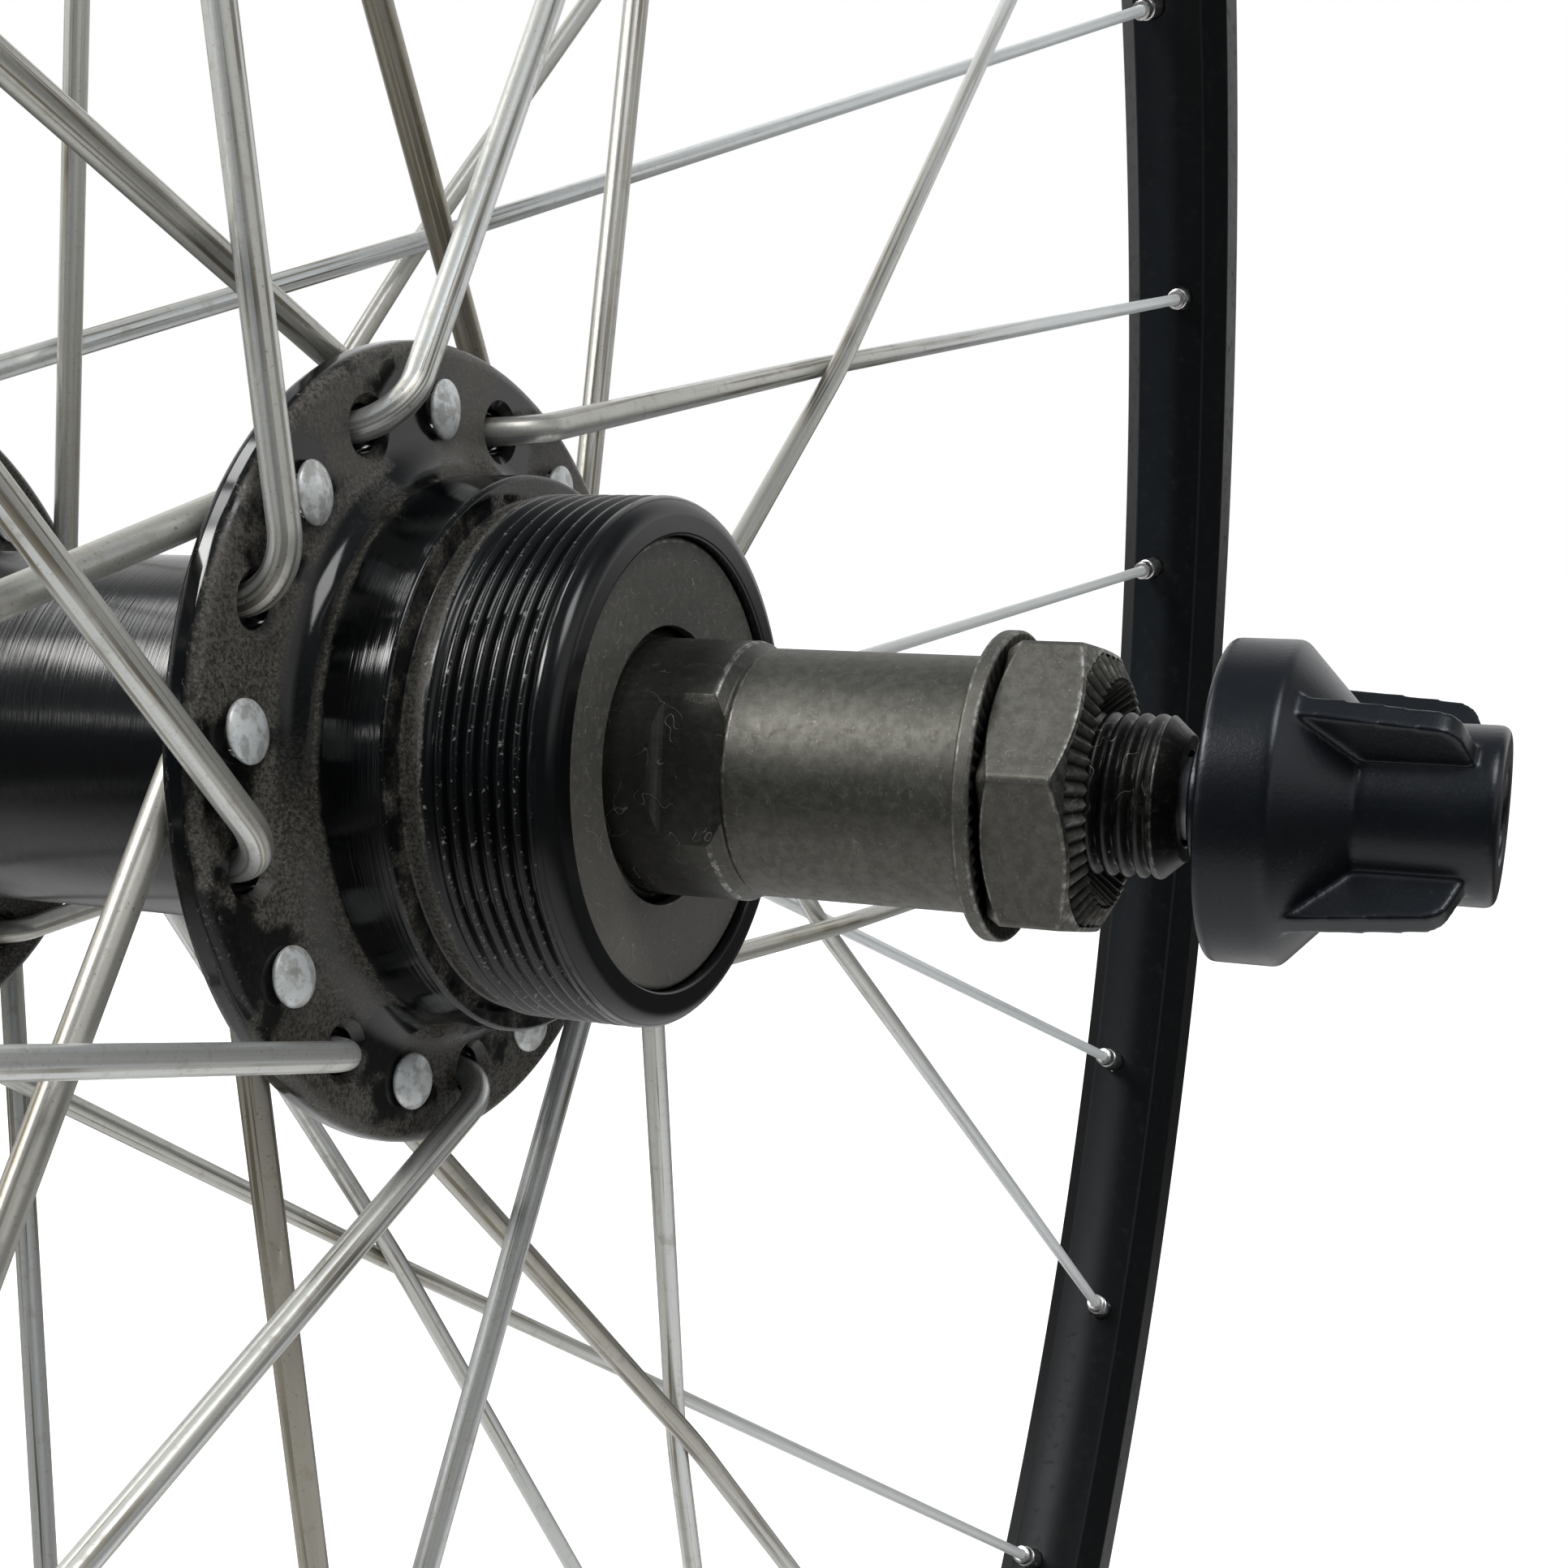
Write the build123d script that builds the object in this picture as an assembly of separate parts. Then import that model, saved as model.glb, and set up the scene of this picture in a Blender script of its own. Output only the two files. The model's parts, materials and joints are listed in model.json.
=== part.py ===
from build123d import *
import os
from math import asin, cos, degrees, radians, sin, tan

# Rear bicycle wheel with a threaded hub for a screw-on freewheel and a quick-release skewer.
# Millimetres. The axle lies along Y, the drive side faces -Y, X points forward and Z up, and the
# origin is where the axle crosses the middle plane of the rim. An offset is a distance along the
# axle from that plane, positive towards the drive side. An angle is counted from X towards Z.

# Rim
bead_seat_diameter = 622.0
rim_flange_height = 6.0
rim_width = 21.4
rim_shoulder_width = 20.3
rim_shoulder_height = 7.2
rim_wall = 1.4
bead_ledge = 1.8
rim_bed_width = 13.0
rim_depth = 13.8
rim_bed_rise = 1.0
rim_bed_wall = 2.3
rim_well_width = 11.2
nipple_hole_diameter = 4.5
nipple_hole_stagger = 2.1
valve_hole_diameter = 8.5
valve_group_count = 5

# Lacing
spokes_per_flange = 18
crossing_angle = 60.0
first_hole_angle = 49.5
spoke_diameter = 2.0
spoke_head_diameter = 3.9
spoke_head_rim = 0.3
spoke_head_dome = 0.45
spoke_head_gap = 0.05
spoke_lean = 7.0
outbound_elbow_radius = 3.8
inbound_elbow_radius = 2.4
elbow_rise = 1.27
elbow_hug = 0.2
crossing_gap = 0.22
crossing_bend_radius = 150.0
spoke_hole_clearance = 0.55
spoke_hole_countersink = 0.6
spoke_hole_slack = 0.12

# Nipples
nipple_diameter = 4.0
nipple_length = 12.0
nipple_head_diameter = 6.0
nipple_head_height = 2.8
nipple_head_lift = 0.5
nipple_tip_diameter = 3.5
nipple_tip_length = 2.4
spoke_thread_gap = 0.06

# Hub shell
drive_flange_offset = 20.4
nondrive_flange_offset = -36.2
flange_diameter = 54.2
flange_thickness = 2.5
flange_edge_radius = 0.9
spoke_circle_diameter = 45.7
barrel_diameter = 26.0
flange_fillet_radius = 2.4
boss_diameter = 37.2
boss_length = 6.9
boss_chamfer = 0.3
land_diameter = 33.8
land_length = 1.7
freewheel_thread_diameter = 34.8
freewheel_thread_length = 7.7
nose_radius = 1.2
shell_bore_diameter = 22.0
nondrive_boss_diameter = 34.0

# Bearings
ball_diameter = 6.35
ball_count = 9
ball_circle_diameter = 21.6
race_gap = 0.08
drive_ball_offset = 32.0
nondrive_ball_offset = -37.65
cup_diameter = 29.8
cup_floor = 1.2
cup_lip = 1.4
cup_hole_diameter = 18.4
dust_cap_offset = 5.3
dust_cap_thickness = 0.8
dust_cap_hole_diameter = 18.3
dust_cap_dish = 0.45
dust_cap_skirt = 2.0

# Axle set
over_locknut_width = 135.0
axle_diameter = 10.0
axle_end_diameter = 9.9
axle_bore_diameter = 5.7
axle_overhang = 4.2
axle_tip_length = 1.3
axle_tip_diameter = 7.6
thread_gap = 0.05
cone_nose = 2.6
cone_shoulder_diameter = 18.6
cone_shoulder_end = 3.4
cone_diameter = 16.8
cone_step = 0.9
cone_reach = 12.1
cone_chamfer = 0.7
cone_flats = 14.0
cone_flat_length = 4.6
cone_flat_angle = 171.0
spacer_diameter = 15.94
spacer_chamfer = 0.3
washer_diameter = 19.2
washer_thickness = 1.1
locknut_flats = 17.0
locknut_thickness = 6.7
locknut_face_diameter = 12.8
locknut_corner_angle = 167.7
locknut_chamfer_angle = 30.0

# Quick-release skewer
rod_diameter = 5.0
clamp_gap = 6.25
skewer_nut_diameter = 19.2
skewer_nut_base = 4.1
skewer_nut_cone = 4.15
skewer_nut_core_diameter = 10.4
skewer_nut_length = 16.0
skewer_nut_edge = 0.6
pocket_diameter = 15.2
pocket_depth = 3.2
collar_diameter = 7.8
collar_gap = 0.5
rib_count = 4
rib_angle = 41.5
rib_thickness = 1.5
rib_base_radius = 8.9
rib_end_radius = 7.9
rib_end = 14.45
rib_end_slant = 1.0
rib_corner_radius = 1.6
nut_running_gap = 0.06
lever_seat_diameter = 18.8
cam_radius = 6.0
cam_throw = 1.0
cam_gap = 0.15
cam_seat_angle = 30.0
cam_cheek = 4.0
pivot_offset = 12.25
pivot_diameter = 4.0
pivot_gap = 0.06
pivot_head_diameter = 6.4
pivot_head = 0.8
eye_diameter = 8.4
eye_width = 5.6
eye_gap = 0.35
lever_length = 52.0
lever_tip_width = 10.0
lever_thickness = 4.2
lever_tip_thickness = 2.4
lever_bend = 3.0
lever_yoke_start = 5.4
lever_yoke_depth = 8.4

# Sizes that follow from the ones above
bead_seat_radius = bead_seat_diameter / 2
rim_radius = bead_seat_radius + rim_flange_height
bed_radius = rim_radius - rim_depth
well_radius = bed_radius + rim_bed_wall
spoke_circle_radius = spoke_circle_diameter / 2
spoke_pitch = 360.0 / spokes_per_flange
spoke_radius = spoke_diameter / 2
ball_radius = ball_diameter / 2
ball_circle_radius = ball_circle_diameter / 2
race_radius = ball_radius + race_gap
locknut_face = over_locknut_width / 2
locknut_inner = locknut_face - locknut_thickness
washer_inner = locknut_inner - washer_thickness
boss_end = drive_flange_offset + boss_length
land_end = boss_end + land_length
shell_drive_end = land_end + freewheel_thread_length + nose_radius
mouth_depth = shell_drive_end - drive_ball_offset
clamp_face = locknut_face + clamp_gap
pivot_place = clamp_face + pivot_offset


def at(radius, angle, offset):
    """Point at a radius and angle about the axle, at an offset towards the drive side."""
    return Vector(radius * cos(radians(angle)), -offset, radius * sin(radians(angle)))


def about_axle(shape, angle):
    """The shape turned about the axle by an angle counted from X towards Z."""
    return Rot(0, -angle, 0) * shape


def turned(points):
    """Solid turned about the axle from (radius, offset) corners."""
    outline = Polyline(*[(radius, -offset) for radius, offset in points], close=True)
    return revolve(make_face(outline), Axis.Y)


def turned_edges(*edges):
    """Solid turned about the axle from joined edges in the XY plane."""
    return revolve(make_face(Wire(edges)), Axis.Y)


def mirrored(shape):
    """The same piece on the other side of the middle plane."""
    return mirror(shape, about=Plane.XZ)


def moved_along(shape, offset):
    """The shape carried along the axle towards the drive side."""
    return Pos(0, -offset, 0) * shape


# Where each flange's spokes start, cross and end
class Lacing:
    """Spokes of one kind on one flange: hole angles, elbow, outer crossing and nipple."""

    def __init__(self, side, outbound):
        self.side = side
        self.turn = -1 if outbound else 1
        self.outbound = outbound
        face = drive_flange_offset if side > 0 else -nondrive_flange_offset
        back = face - flange_thickness
        first = first_hole_angle if side > 0 else first_hole_angle - 1.5 * spoke_pitch
        self.first = first + (spoke_pitch if outbound else 0.0)
        self.bend = outbound_elbow_radius if outbound else inbound_elbow_radius
        self.rim_angle = self.first + self.turn * crossing_angle
        self.foot = at(spoke_circle_radius, self.first, 0)
        self.pull = (at(well_radius, self.rim_angle, 0) - self.foot).normalized()
        self.seat = at(well_radius, self.rim_angle, side * nipple_hole_stagger)
        lift = spoke_head_gap + spoke_head_diameter / 2 * sin(radians(spoke_lean))
        head = back - lift if outbound else face + lift
        elbow = face + spoke_radius + elbow_rise if outbound else back - spoke_radius - elbow_hug
        self.head = self.on_shank(head, (face + back) / 2)
        self.corner = self.on_shank(elbow, (face + back) / 2)
        self.crossing = self.place_crossing(face, back)

    def on_shank(self, level, middle):
        """Point of the shank, which leans in its hole so that its elbow is nearer to the rim."""
        shift = abs(level - middle) * tan(radians(spoke_lean))
        towards_elbow = (level > middle) == self.outbound
        along = Vector(0, -self.side * level, 0)
        return self.foot + along + self.pull * (shift if towards_elbow else -shift)

    def place_crossing(self, face, back):
        """Point where the spoke goes round its partner, inbound spokes outermost."""
        middle = self.first + self.turn * (crossing_angle - spoke_pitch / 2)
        sideways = Vector(-sin(radians(middle)), 0, cos(radians(middle)))
        start, end = self.corner.dot(sideways), self.seat.dot(sideways)
        share = start / (start - end)
        point = self.corner + (self.seat - self.corner) * share
        elbows = (face + elbow_rise + back - elbow_hug) / 2
        level = elbows + (nipple_hole_stagger - elbows) * share
        apart = self.turn * (spoke_diameter + crossing_gap) / 2
        return Vector(point.X, -self.side * (level + apart), point.Z)

    def at_seat(self, shape):
        """The shape carried to the nipple's seat, its Z axis along the spoke towards the hub."""
        return Plane(origin=self.seat, z_dir=self.crossing - self.seat) * shape

    def all_round(self, shape):
        """A copy of the shape for each spoke of this kind."""
        return [about_axle(shape, 2 * spoke_pitch * k) for k in range(spokes_per_flange // 2)]


def rim():
    """Single-wall rim with a rounded bed, bead ledges, nipple holes and a valve hole."""
    shoulder_radius = rim_radius - rim_shoulder_height
    edge = bed_radius + rim_bed_rise
    half = [(edge, rim_bed_width / 2), (shoulder_radius, rim_shoulder_width / 2), (rim_radius, rim_width / 2),
            (rim_radius, rim_width / 2 - rim_wall), (bead_seat_radius, rim_width / 2 - rim_wall),
            (bead_seat_radius, rim_width / 2 - rim_wall - bead_ledge), (well_radius, rim_well_width / 2)]
    sides = Polyline(*[(radius, -offset) for radius, offset in half],
                     *[(radius, offset) for radius, offset in reversed(half)])
    bed = ThreePointArc((edge, rim_bed_width / 2), (bed_radius, 0), (edge, -rim_bed_width / 2))
    ring = turned_edges(*sides.edges(), bed)
    drills = []
    for lacing in lacings.values():
        drill = lacing.at_seat(Cylinder(nipple_hole_diameter / 2, rim_depth))
        drills += lacing.all_round(drill)
    valve_angle = lacings[1, True].rim_angle + spoke_pitch * (2 * valve_group_count - 0.25)
    valve_place = Plane(origin=at(bed_radius, valve_angle, 0), z_dir=at(1, valve_angle, 0))
    drills.append(valve_place * Cylinder(valve_hole_diameter / 2, rim_depth))
    return ring - drills


def spoke_set(lacing):
    """Nine bent spokes with domed heads."""
    axis = (lacing.corner - lacing.head).normalized()
    route = FilletPolyline(lacing.head, lacing.corner, lacing.crossing, lacing.seat,
                           radius=[lacing.bend, crossing_bend_radius])
    shank = sweep(Plane(origin=lacing.head, z_dir=axis) * Circle(spoke_radius), path=route)
    head_radius = spoke_head_diameter / 2
    top = spoke_head_rim + spoke_head_dome
    dome_radius = (head_radius ** 2 + spoke_head_dome ** 2) / (2 * spoke_head_dome)
    spread = degrees(asin(head_radius / dome_radius))
    outline = Polyline((0, top), (0, 0), (head_radius, 0), (head_radius, spoke_head_rim))
    dome = CenterArc((0, top - dome_radius), dome_radius, 90 - spread, spread)
    head = revolve(make_face(Wire([*outline.edges(), dome])), Axis.Y)
    across = axis.cross(lacing.foot)
    head = Plane(origin=lacing.head, x_dir=across, z_dir=axis.cross(across)) * head
    return lacing.all_round(shank + head)


def nipple_set(*kinds):
    """Nipples of one flange's spokes, each in line with its spoke."""
    shank, head, tip = nipple_diameter / 2, nipple_head_diameter / 2, nipple_tip_diameter / 2
    bore = spoke_radius + spoke_thread_gap
    top = -nipple_head_height
    end = nipple_length + top
    corners = [(bore, end), (tip, end), (tip, end - nipple_tip_length), (shank, end - nipple_tip_length),
               (shank, -nipple_head_lift), (head, -nipple_head_lift), (head, top / 2), (shank, top),
               (bore, top)]
    outline = make_face(Polyline(*[(radius, 0, height) for radius, height in corners], close=True))
    nipple = revolve(outline, Axis.Z)
    return [one for lacing in kinds for one in lacing.all_round(lacing.at_seat(nipple))]


def hub_shell():
    """One-piece hub shell: two drilled flanges, barrel, freewheel boss and thread, bearing seats."""
    flange, barrel, boss = flange_diameter / 2, barrel_diameter / 2, boss_diameter / 2
    land, thread, bore = land_diameter / 2, freewheel_thread_diameter / 2, shell_bore_diameter / 2
    seat, edge = cup_diameter / 2, flange_edge_radius
    drive_back = drive_flange_offset - flange_thickness
    far_face, far_back = nondrive_flange_offset, nondrive_flange_offset + flange_thickness
    far_boss = nondrive_boss_diameter / 2
    far_end = nondrive_ball_offset - mouth_depth
    cup_depth = race_radius + cup_floor
    drive_seat, far_seat = drive_ball_offset - cup_depth, nondrive_ball_offset + cup_depth
    corners = [(bore, drive_seat), (seat, drive_seat), (seat, shell_drive_end),
               (thread, shell_drive_end), (thread, land_end), (land, land_end), (land, boss_end),
               (boss - boss_chamfer, boss_end), (boss, boss_end - boss_chamfer), (boss, drive_flange_offset),
               (flange, drive_flange_offset), (flange, drive_back), (barrel, drive_back), (barrel, far_back),
               (flange, far_back), (flange, far_face), (far_boss, far_face),
               (far_boss, far_end), (seat, far_end), (seat, far_seat), (bore, far_seat)]
    outline = make_face(Polyline(*[(radius, -offset) for radius, offset in corners], close=True))
    roots = [(boss, drive_flange_offset), (barrel, drive_back), (barrel, far_back), (far_boss, far_face)]
    rims = [(flange, drive_flange_offset), (flange, drive_back), (flange, far_back), (flange, far_face)]
    outline = fillet(corner_vertices(outline, roots), flange_fillet_radius)
    outline = fillet(corner_vertices(outline, rims), edge)
    outline = fillet(corner_vertices(outline, [(thread, shell_drive_end)]), nose_radius)
    shell = revolve(outline, Axis.Y)
    holes = []
    for lacing in lacings.values():
        drill = Pos(lacing.foot - lacing.pull * spoke_hole_slack) * spoke_hole(lacing)
        holes += lacing.all_round(drill)
    return shell - holes


def spoke_hole(lacing):
    """Tool for one flange hole, countersunk where the spoke's elbow leaves it."""
    face = drive_flange_offset if lacing.side > 0 else nondrive_flange_offset
    back = face - lacing.side * flange_thickness
    mouth, start = (face, back) if lacing.outbound else (back, face)
    ahead = 1 if mouth > start else -1
    narrow = spoke_radius + spoke_hole_clearance
    wide = narrow + spoke_hole_countersink + spoke_radius
    below, above = start - ahead * spoke_radius, mouth + ahead * spoke_radius
    bevel = mouth - ahead * spoke_hole_countersink
    return turned([(0, below), (narrow, below), (narrow, bevel), (wide, above), (0, above)])


def corner_vertices(face, corners):
    """Vertices of a turning profile that lie at the given (radius, offset) corners."""
    found = []
    for radius, offset in corners:
        found.append(face.vertices().sort_by_distance((radius, -offset, 0))[0])
    return found


def bearing_cup():
    """Pressed cup whose race holds the balls from outside, for a ball circle at offset zero."""
    ring, outer = ball_circle_radius, cup_diameter / 2
    floor = race_radius + cup_floor
    hole, wall = cup_hole_diameter / 2, ring + race_radius
    corners = Polyline((ring, race_radius), (hole, race_radius), (hole, floor), (outer, floor),
                       (outer, -cup_lip), (wall, -cup_lip), (wall, 0))
    race = CenterArc((ring, 0), race_radius, 0, 90)
    return turned_edges(*corners.edges(), race)


def dust_cap():
    """Flanged, slightly dished ring pressed into the shell's mouth, for a ball circle at offset zero."""
    outer, hole = cup_diameter / 2, dust_cap_hole_diameter / 2
    inner, wall = dust_cap_offset - dust_cap_thickness, dust_cap_thickness
    face, end = dust_cap_offset, inner - dust_cap_skirt
    return turned([(hole, face - dust_cap_dish), (outer - wall / 2, face), (outer, face - wall / 2),
                   (outer, end), (outer - wall, end), (outer - wall, inner), (hole, inner - dust_cap_dish)])


def ball_set(offset):
    """Ring of bearing balls."""
    place = at(ball_circle_radius, 0, offset)
    return [about_axle(Pos(place) * Sphere(ball_radius), 360.0 / ball_count * k) for k in range(ball_count)]


def cone():
    """Bearing cone with a race, a shoulder and two spanner flats, for a ball circle at offset zero."""
    ring, hole, body = ball_circle_radius, axle_diameter / 2 + thread_gap, cone_diameter / 2
    nose, shoulder = ring - race_radius, cone_shoulder_diameter / 2
    lift = asin((ring - shoulder) / race_radius)
    race_top = race_radius * cos(lift)
    race = CenterArc((ring, 0), race_radius, 180, 90 - degrees(lift))
    shoulder_end = -cone_shoulder_end
    corners = Polyline((shoulder, -race_top), (shoulder, shoulder_end), (body, shoulder_end - cone_step),
                       (body, cone_chamfer - cone_reach), (body - cone_chamfer, -cone_reach),
                       (hole, -cone_reach), (hole, cone_nose), (nose, cone_nose), (nose, 0))
    solid = turned_edges(*corners.edges(), race)
    waste = cone_diameter / 2
    middle = -cone_reach + cone_flat_length / 2
    for side in (1, -1):
        block = Box(waste, cone_flat_length, cone_diameter)
        solid -= about_axle(Pos(side * (cone_flats / 2 + waste / 2), middle, 0) * block, cone_flat_angle)
    return solid


def spacer(start, end):
    """Plain tube on the axle between a cone and its lock washer."""
    hole, outer, cut = axle_diameter / 2 + thread_gap, spacer_diameter / 2, spacer_chamfer
    return turned([(hole, start), (outer - cut, start), (outer, start + cut), (outer, end), (hole, end)])


def lock_washer():
    """Washer between spacer and locknut on the drive side."""
    hole, outer = axle_diameter / 2 + thread_gap, washer_diameter / 2
    return turned([(hole, washer_inner), (outer, washer_inner), (outer, locknut_inner),
                   (hole, locknut_inner)])


def locknut():
    """Hexagon locknut of the drive side, with a coned outer face and a chamfered back."""
    flat, ring = locknut_flats / 2, locknut_face_diameter / 2
    corner = flat / cos(radians(30))
    slope = tan(radians(locknut_chamfer_angle))
    middle = (locknut_inner + locknut_face) / 2
    hexagon = extrude(RegularPolygon(corner, 6), locknut_thickness / 2, both=True)
    blank = moved_along(about_axle(Rot(90, 0, 0) * hexagon, locknut_corner_angle), middle)
    hole = axle_diameter / 2 + thread_gap
    round_blank = turned([(hole, locknut_inner), (flat, locknut_inner),
                          (corner, locknut_inner + (corner - flat) * slope),
                          (corner, locknut_face - (corner - ring) * slope),
                          (ring, locknut_face), (hole, locknut_face)])
    return blank & round_blank


def axle():
    """Hollow threaded axle with tapered ends beyond the locknuts."""
    bore, thread, end = axle_bore_diameter / 2, axle_diameter / 2, axle_end_diameter / 2
    tip = locknut_face + axle_overhang
    half = [(bore, tip), (axle_tip_diameter / 2, tip), (end, tip - axle_tip_length), (end, locknut_face),
            (thread, locknut_face)]
    return turned(half + [(radius, -offset) for radius, offset in reversed(half)])


def skewer_rod():
    """Rod through the axle, with an eye for the lever's pivot on the non-drive side."""
    rod, end = rod_diameter / 2, clamp_face + skewer_nut_length - skewer_nut_edge
    root = -pivot_place + (eye_diameter + pivot_diameter) / 4
    bar = turned([(0, end), (rod, end), (rod, root), (0, root)])
    eye = moved_along(Rot(0, 90, 0) * Cylinder(eye_diameter / 2, eye_width), -pivot_place)
    hole = moved_along(Rot(0, 90, 0) * Cylinder(pivot_diameter / 2, 2 * eye_width), -pivot_place)
    return bar + (eye - hole)


def skewer_nut():
    """Moulded nut: a pocket with a collar that faces the axle, a conical back, a round core and four ribs."""
    outer, core = skewer_nut_diameter / 2, skewer_nut_core_diameter / 2
    hole, edge = rod_diameter / 2 + nut_running_gap, skewer_nut_edge
    face, base, end = clamp_face, clamp_face + skewer_nut_base, clamp_face + skewer_nut_length
    cone_end = base + skewer_nut_cone
    pocket, floor = pocket_diameter / 2, face + pocket_depth
    collar, collar_end = collar_diameter / 2, locknut_face + axle_overhang + collar_gap
    body = turned([(hole, end), (core - edge, end), (core, end - edge), (core, cone_end), (outer, base),
                   (outer, face), (pocket, face), (pocket, floor), (collar, floor), (collar, collar_end),
                   (hole, collar_end)])
    tip = face + rib_end
    corner = tip - rib_end_slant
    outline = make_face(Polyline((core - edge, -base), (rib_base_radius, -base), (rib_end_radius, -corner),
                                 (core, -tip), (core - edge, -tip), close=True))
    outline = fillet(corner_vertices(outline, [(rib_end_radius, corner)]), rib_corner_radius)
    rib = extrude(outline, rib_thickness / 2, both=True)
    for k in range(rib_count):
        body += about_axle(rib, rib_angle + 360.0 / rib_count * k)
    return body


def lever_seat():
    """Round block under the cam, with a pocket for the axle's end and a hollow that the cam turns in."""
    outer, hole, pocket = lever_seat_diameter / 2, axle_bore_diameter / 2, pocket_diameter / 2
    hollow = cam_radius + cam_gap
    middle = pivot_place - cam_throw
    face = middle - hollow * cos(radians(cam_seat_angle))
    floor = clamp_face + pocket_depth
    block = turned([(hole, -floor), (pocket, -floor), (pocket, -clamp_face), (outer, -clamp_face),
                    (outer, -face), (hole, -face)])
    return block - moved_along(Rot(0, 90, 0) * Cylinder(hollow, 2 * outer), -middle)


def lever():
    """Quick-release lever: two cam cheeks on the pivot, a yoke and a bent, tapered arm."""
    cheek_start = eye_width / 2 + eye_gap
    half_width = cheek_start + cam_cheek
    inner, outer = pivot_place - lever_yoke_depth / 2, pivot_place + lever_yoke_depth / 2
    top = lever_yoke_start + lever_thickness
    middle = (top + lever_length) / 2
    cams = moved_along(Rot(0, 90, 0) * Cylinder(cam_radius, 2 * half_width), cam_throw - pivot_place)
    foot = Polyline((outer, top), (outer, 0), (inner, 0), (inner, top))
    front = ThreePointArc((inner, top), (inner + lever_bend, middle), (inner, lever_length))
    end = Line((inner, lever_length), (inner + lever_tip_thickness, lever_length))
    back = ThreePointArc((inner + lever_tip_thickness, lever_length),
                         (inner + lever_bend + lever_thickness, middle), (outer, top))
    side_view = Plane.YZ * make_face(Wire([*foot.edges(), front, end, back]))
    arm = extrude(side_view, half_width, both=True)
    tip = lever_tip_width / 2
    flanks = Polyline((tip, lever_length - tip), (half_width, top), (half_width, -cam_radius),
                      (-half_width, -cam_radius), (-half_width, top), (-tip, lever_length - tip))
    round_tip = ThreePointArc((-tip, lever_length - tip), (0, lever_length), (tip, lever_length - tip))
    front_view = Plane.XZ * make_face(Wire([*flanks.edges(), round_tip]))
    arm = arm & extrude(front_view, 2 * pivot_place, both=True)
    slot_height = lever_yoke_start + 2 * cam_radius
    slot = Box(2 * cheek_start, 4 * cam_radius, slot_height)
    slot = Pos(0, pivot_place, lever_yoke_start - slot_height / 2) * slot
    hole = moved_along(Rot(0, 90, 0) * Cylinder(pivot_diameter / 2 + pivot_gap, 4 * half_width), -pivot_place)
    return cams + arm - slot - hole


def pivot_pin():
    """Cross pin through the lever's cheeks and the rod's eye, with a flat head at each end."""
    length = eye_width + 2 * (eye_gap + cam_cheek + pivot_gap)
    across = Rot(0, 90, 0)
    pin = Cylinder(pivot_diameter / 2, length)
    for side in (1, -1):
        pin += Pos(0, 0, side * (length + pivot_head) / 2) * Cylinder(pivot_head_diameter / 2, pivot_head)
    return moved_along(across * pin, -pivot_place)


lacings = {(side, outbound): Lacing(side, outbound) for side in (1, -1) for outbound in (True, False)}
drive_cone_end = drive_ball_offset + cone_reach
nondrive_cone_end = cone_reach - nondrive_ball_offset

parts = {
    "rim": rim(),
    "hub_shell": hub_shell(),
    "drive_outbound_spokes": spoke_set(lacings[1, True]),
    "drive_inbound_spokes": spoke_set(lacings[1, False]),
    "nondrive_outbound_spokes": spoke_set(lacings[-1, True]),
    "nondrive_inbound_spokes": spoke_set(lacings[-1, False]),
    "drive_nipples": nipple_set(lacings[1, True], lacings[1, False]),
    "nondrive_nipples": nipple_set(lacings[-1, True], lacings[-1, False]),
    "drive_bearing_cup": moved_along(bearing_cup(), drive_ball_offset),
    "nondrive_bearing_cup": mirrored(moved_along(bearing_cup(), -nondrive_ball_offset)),
    "drive_dust_cap": moved_along(dust_cap(), drive_ball_offset),
    "nondrive_dust_cap": mirrored(moved_along(dust_cap(), -nondrive_ball_offset)),
    "drive_balls": ball_set(drive_ball_offset),
    "nondrive_balls": ball_set(nondrive_ball_offset),
    "axle": axle(),
    "drive_cone": moved_along(cone(), drive_ball_offset),
    "nondrive_cone": mirrored(moved_along(cone(), -nondrive_ball_offset)),
    "drive_spacer": spacer(drive_cone_end, washer_inner),
    "nondrive_spacer": mirrored(spacer(nondrive_cone_end, washer_inner)),
    "drive_lock_washer": lock_washer(),
    "nondrive_lock_washer": mirrored(lock_washer()),
    "drive_locknut": locknut(),
    "nondrive_locknut": mirrored(locknut()),
    "skewer_rod": skewer_rod(),
    "skewer_nut": skewer_nut(),
    "lever_seat": lever_seat(),
    "skewer_lever": lever(),
    "lever_pivot": pivot_pin(),
}

os.makedirs("parts", exist_ok=True)
for name, shape in parts.items():
    solids = [solid for piece in (shape if isinstance(shape, list) else [shape]) for solid in piece.solids()]
    export_step(Compound(solids), f"parts/{name}.step")
    print(name, len(solids), "solids", round(sum(solid.volume for solid in solids), 1), "mm3")
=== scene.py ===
# %% [markdown]
# # A rear bicycle wheel, seen from close to its hub
#
# The wheel is a set of turned pieces on one axle, tied to a rim by 36 bent spokes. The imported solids
# give every place and size. This lesson makes the pieces again as fine meshes with rounded edges,
# cut threads and worn finishes, and sets each one exactly where its solid is.

# %% Frame
import json
from math import asin, cos, degrees, pi, radians, sin, tan

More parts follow.
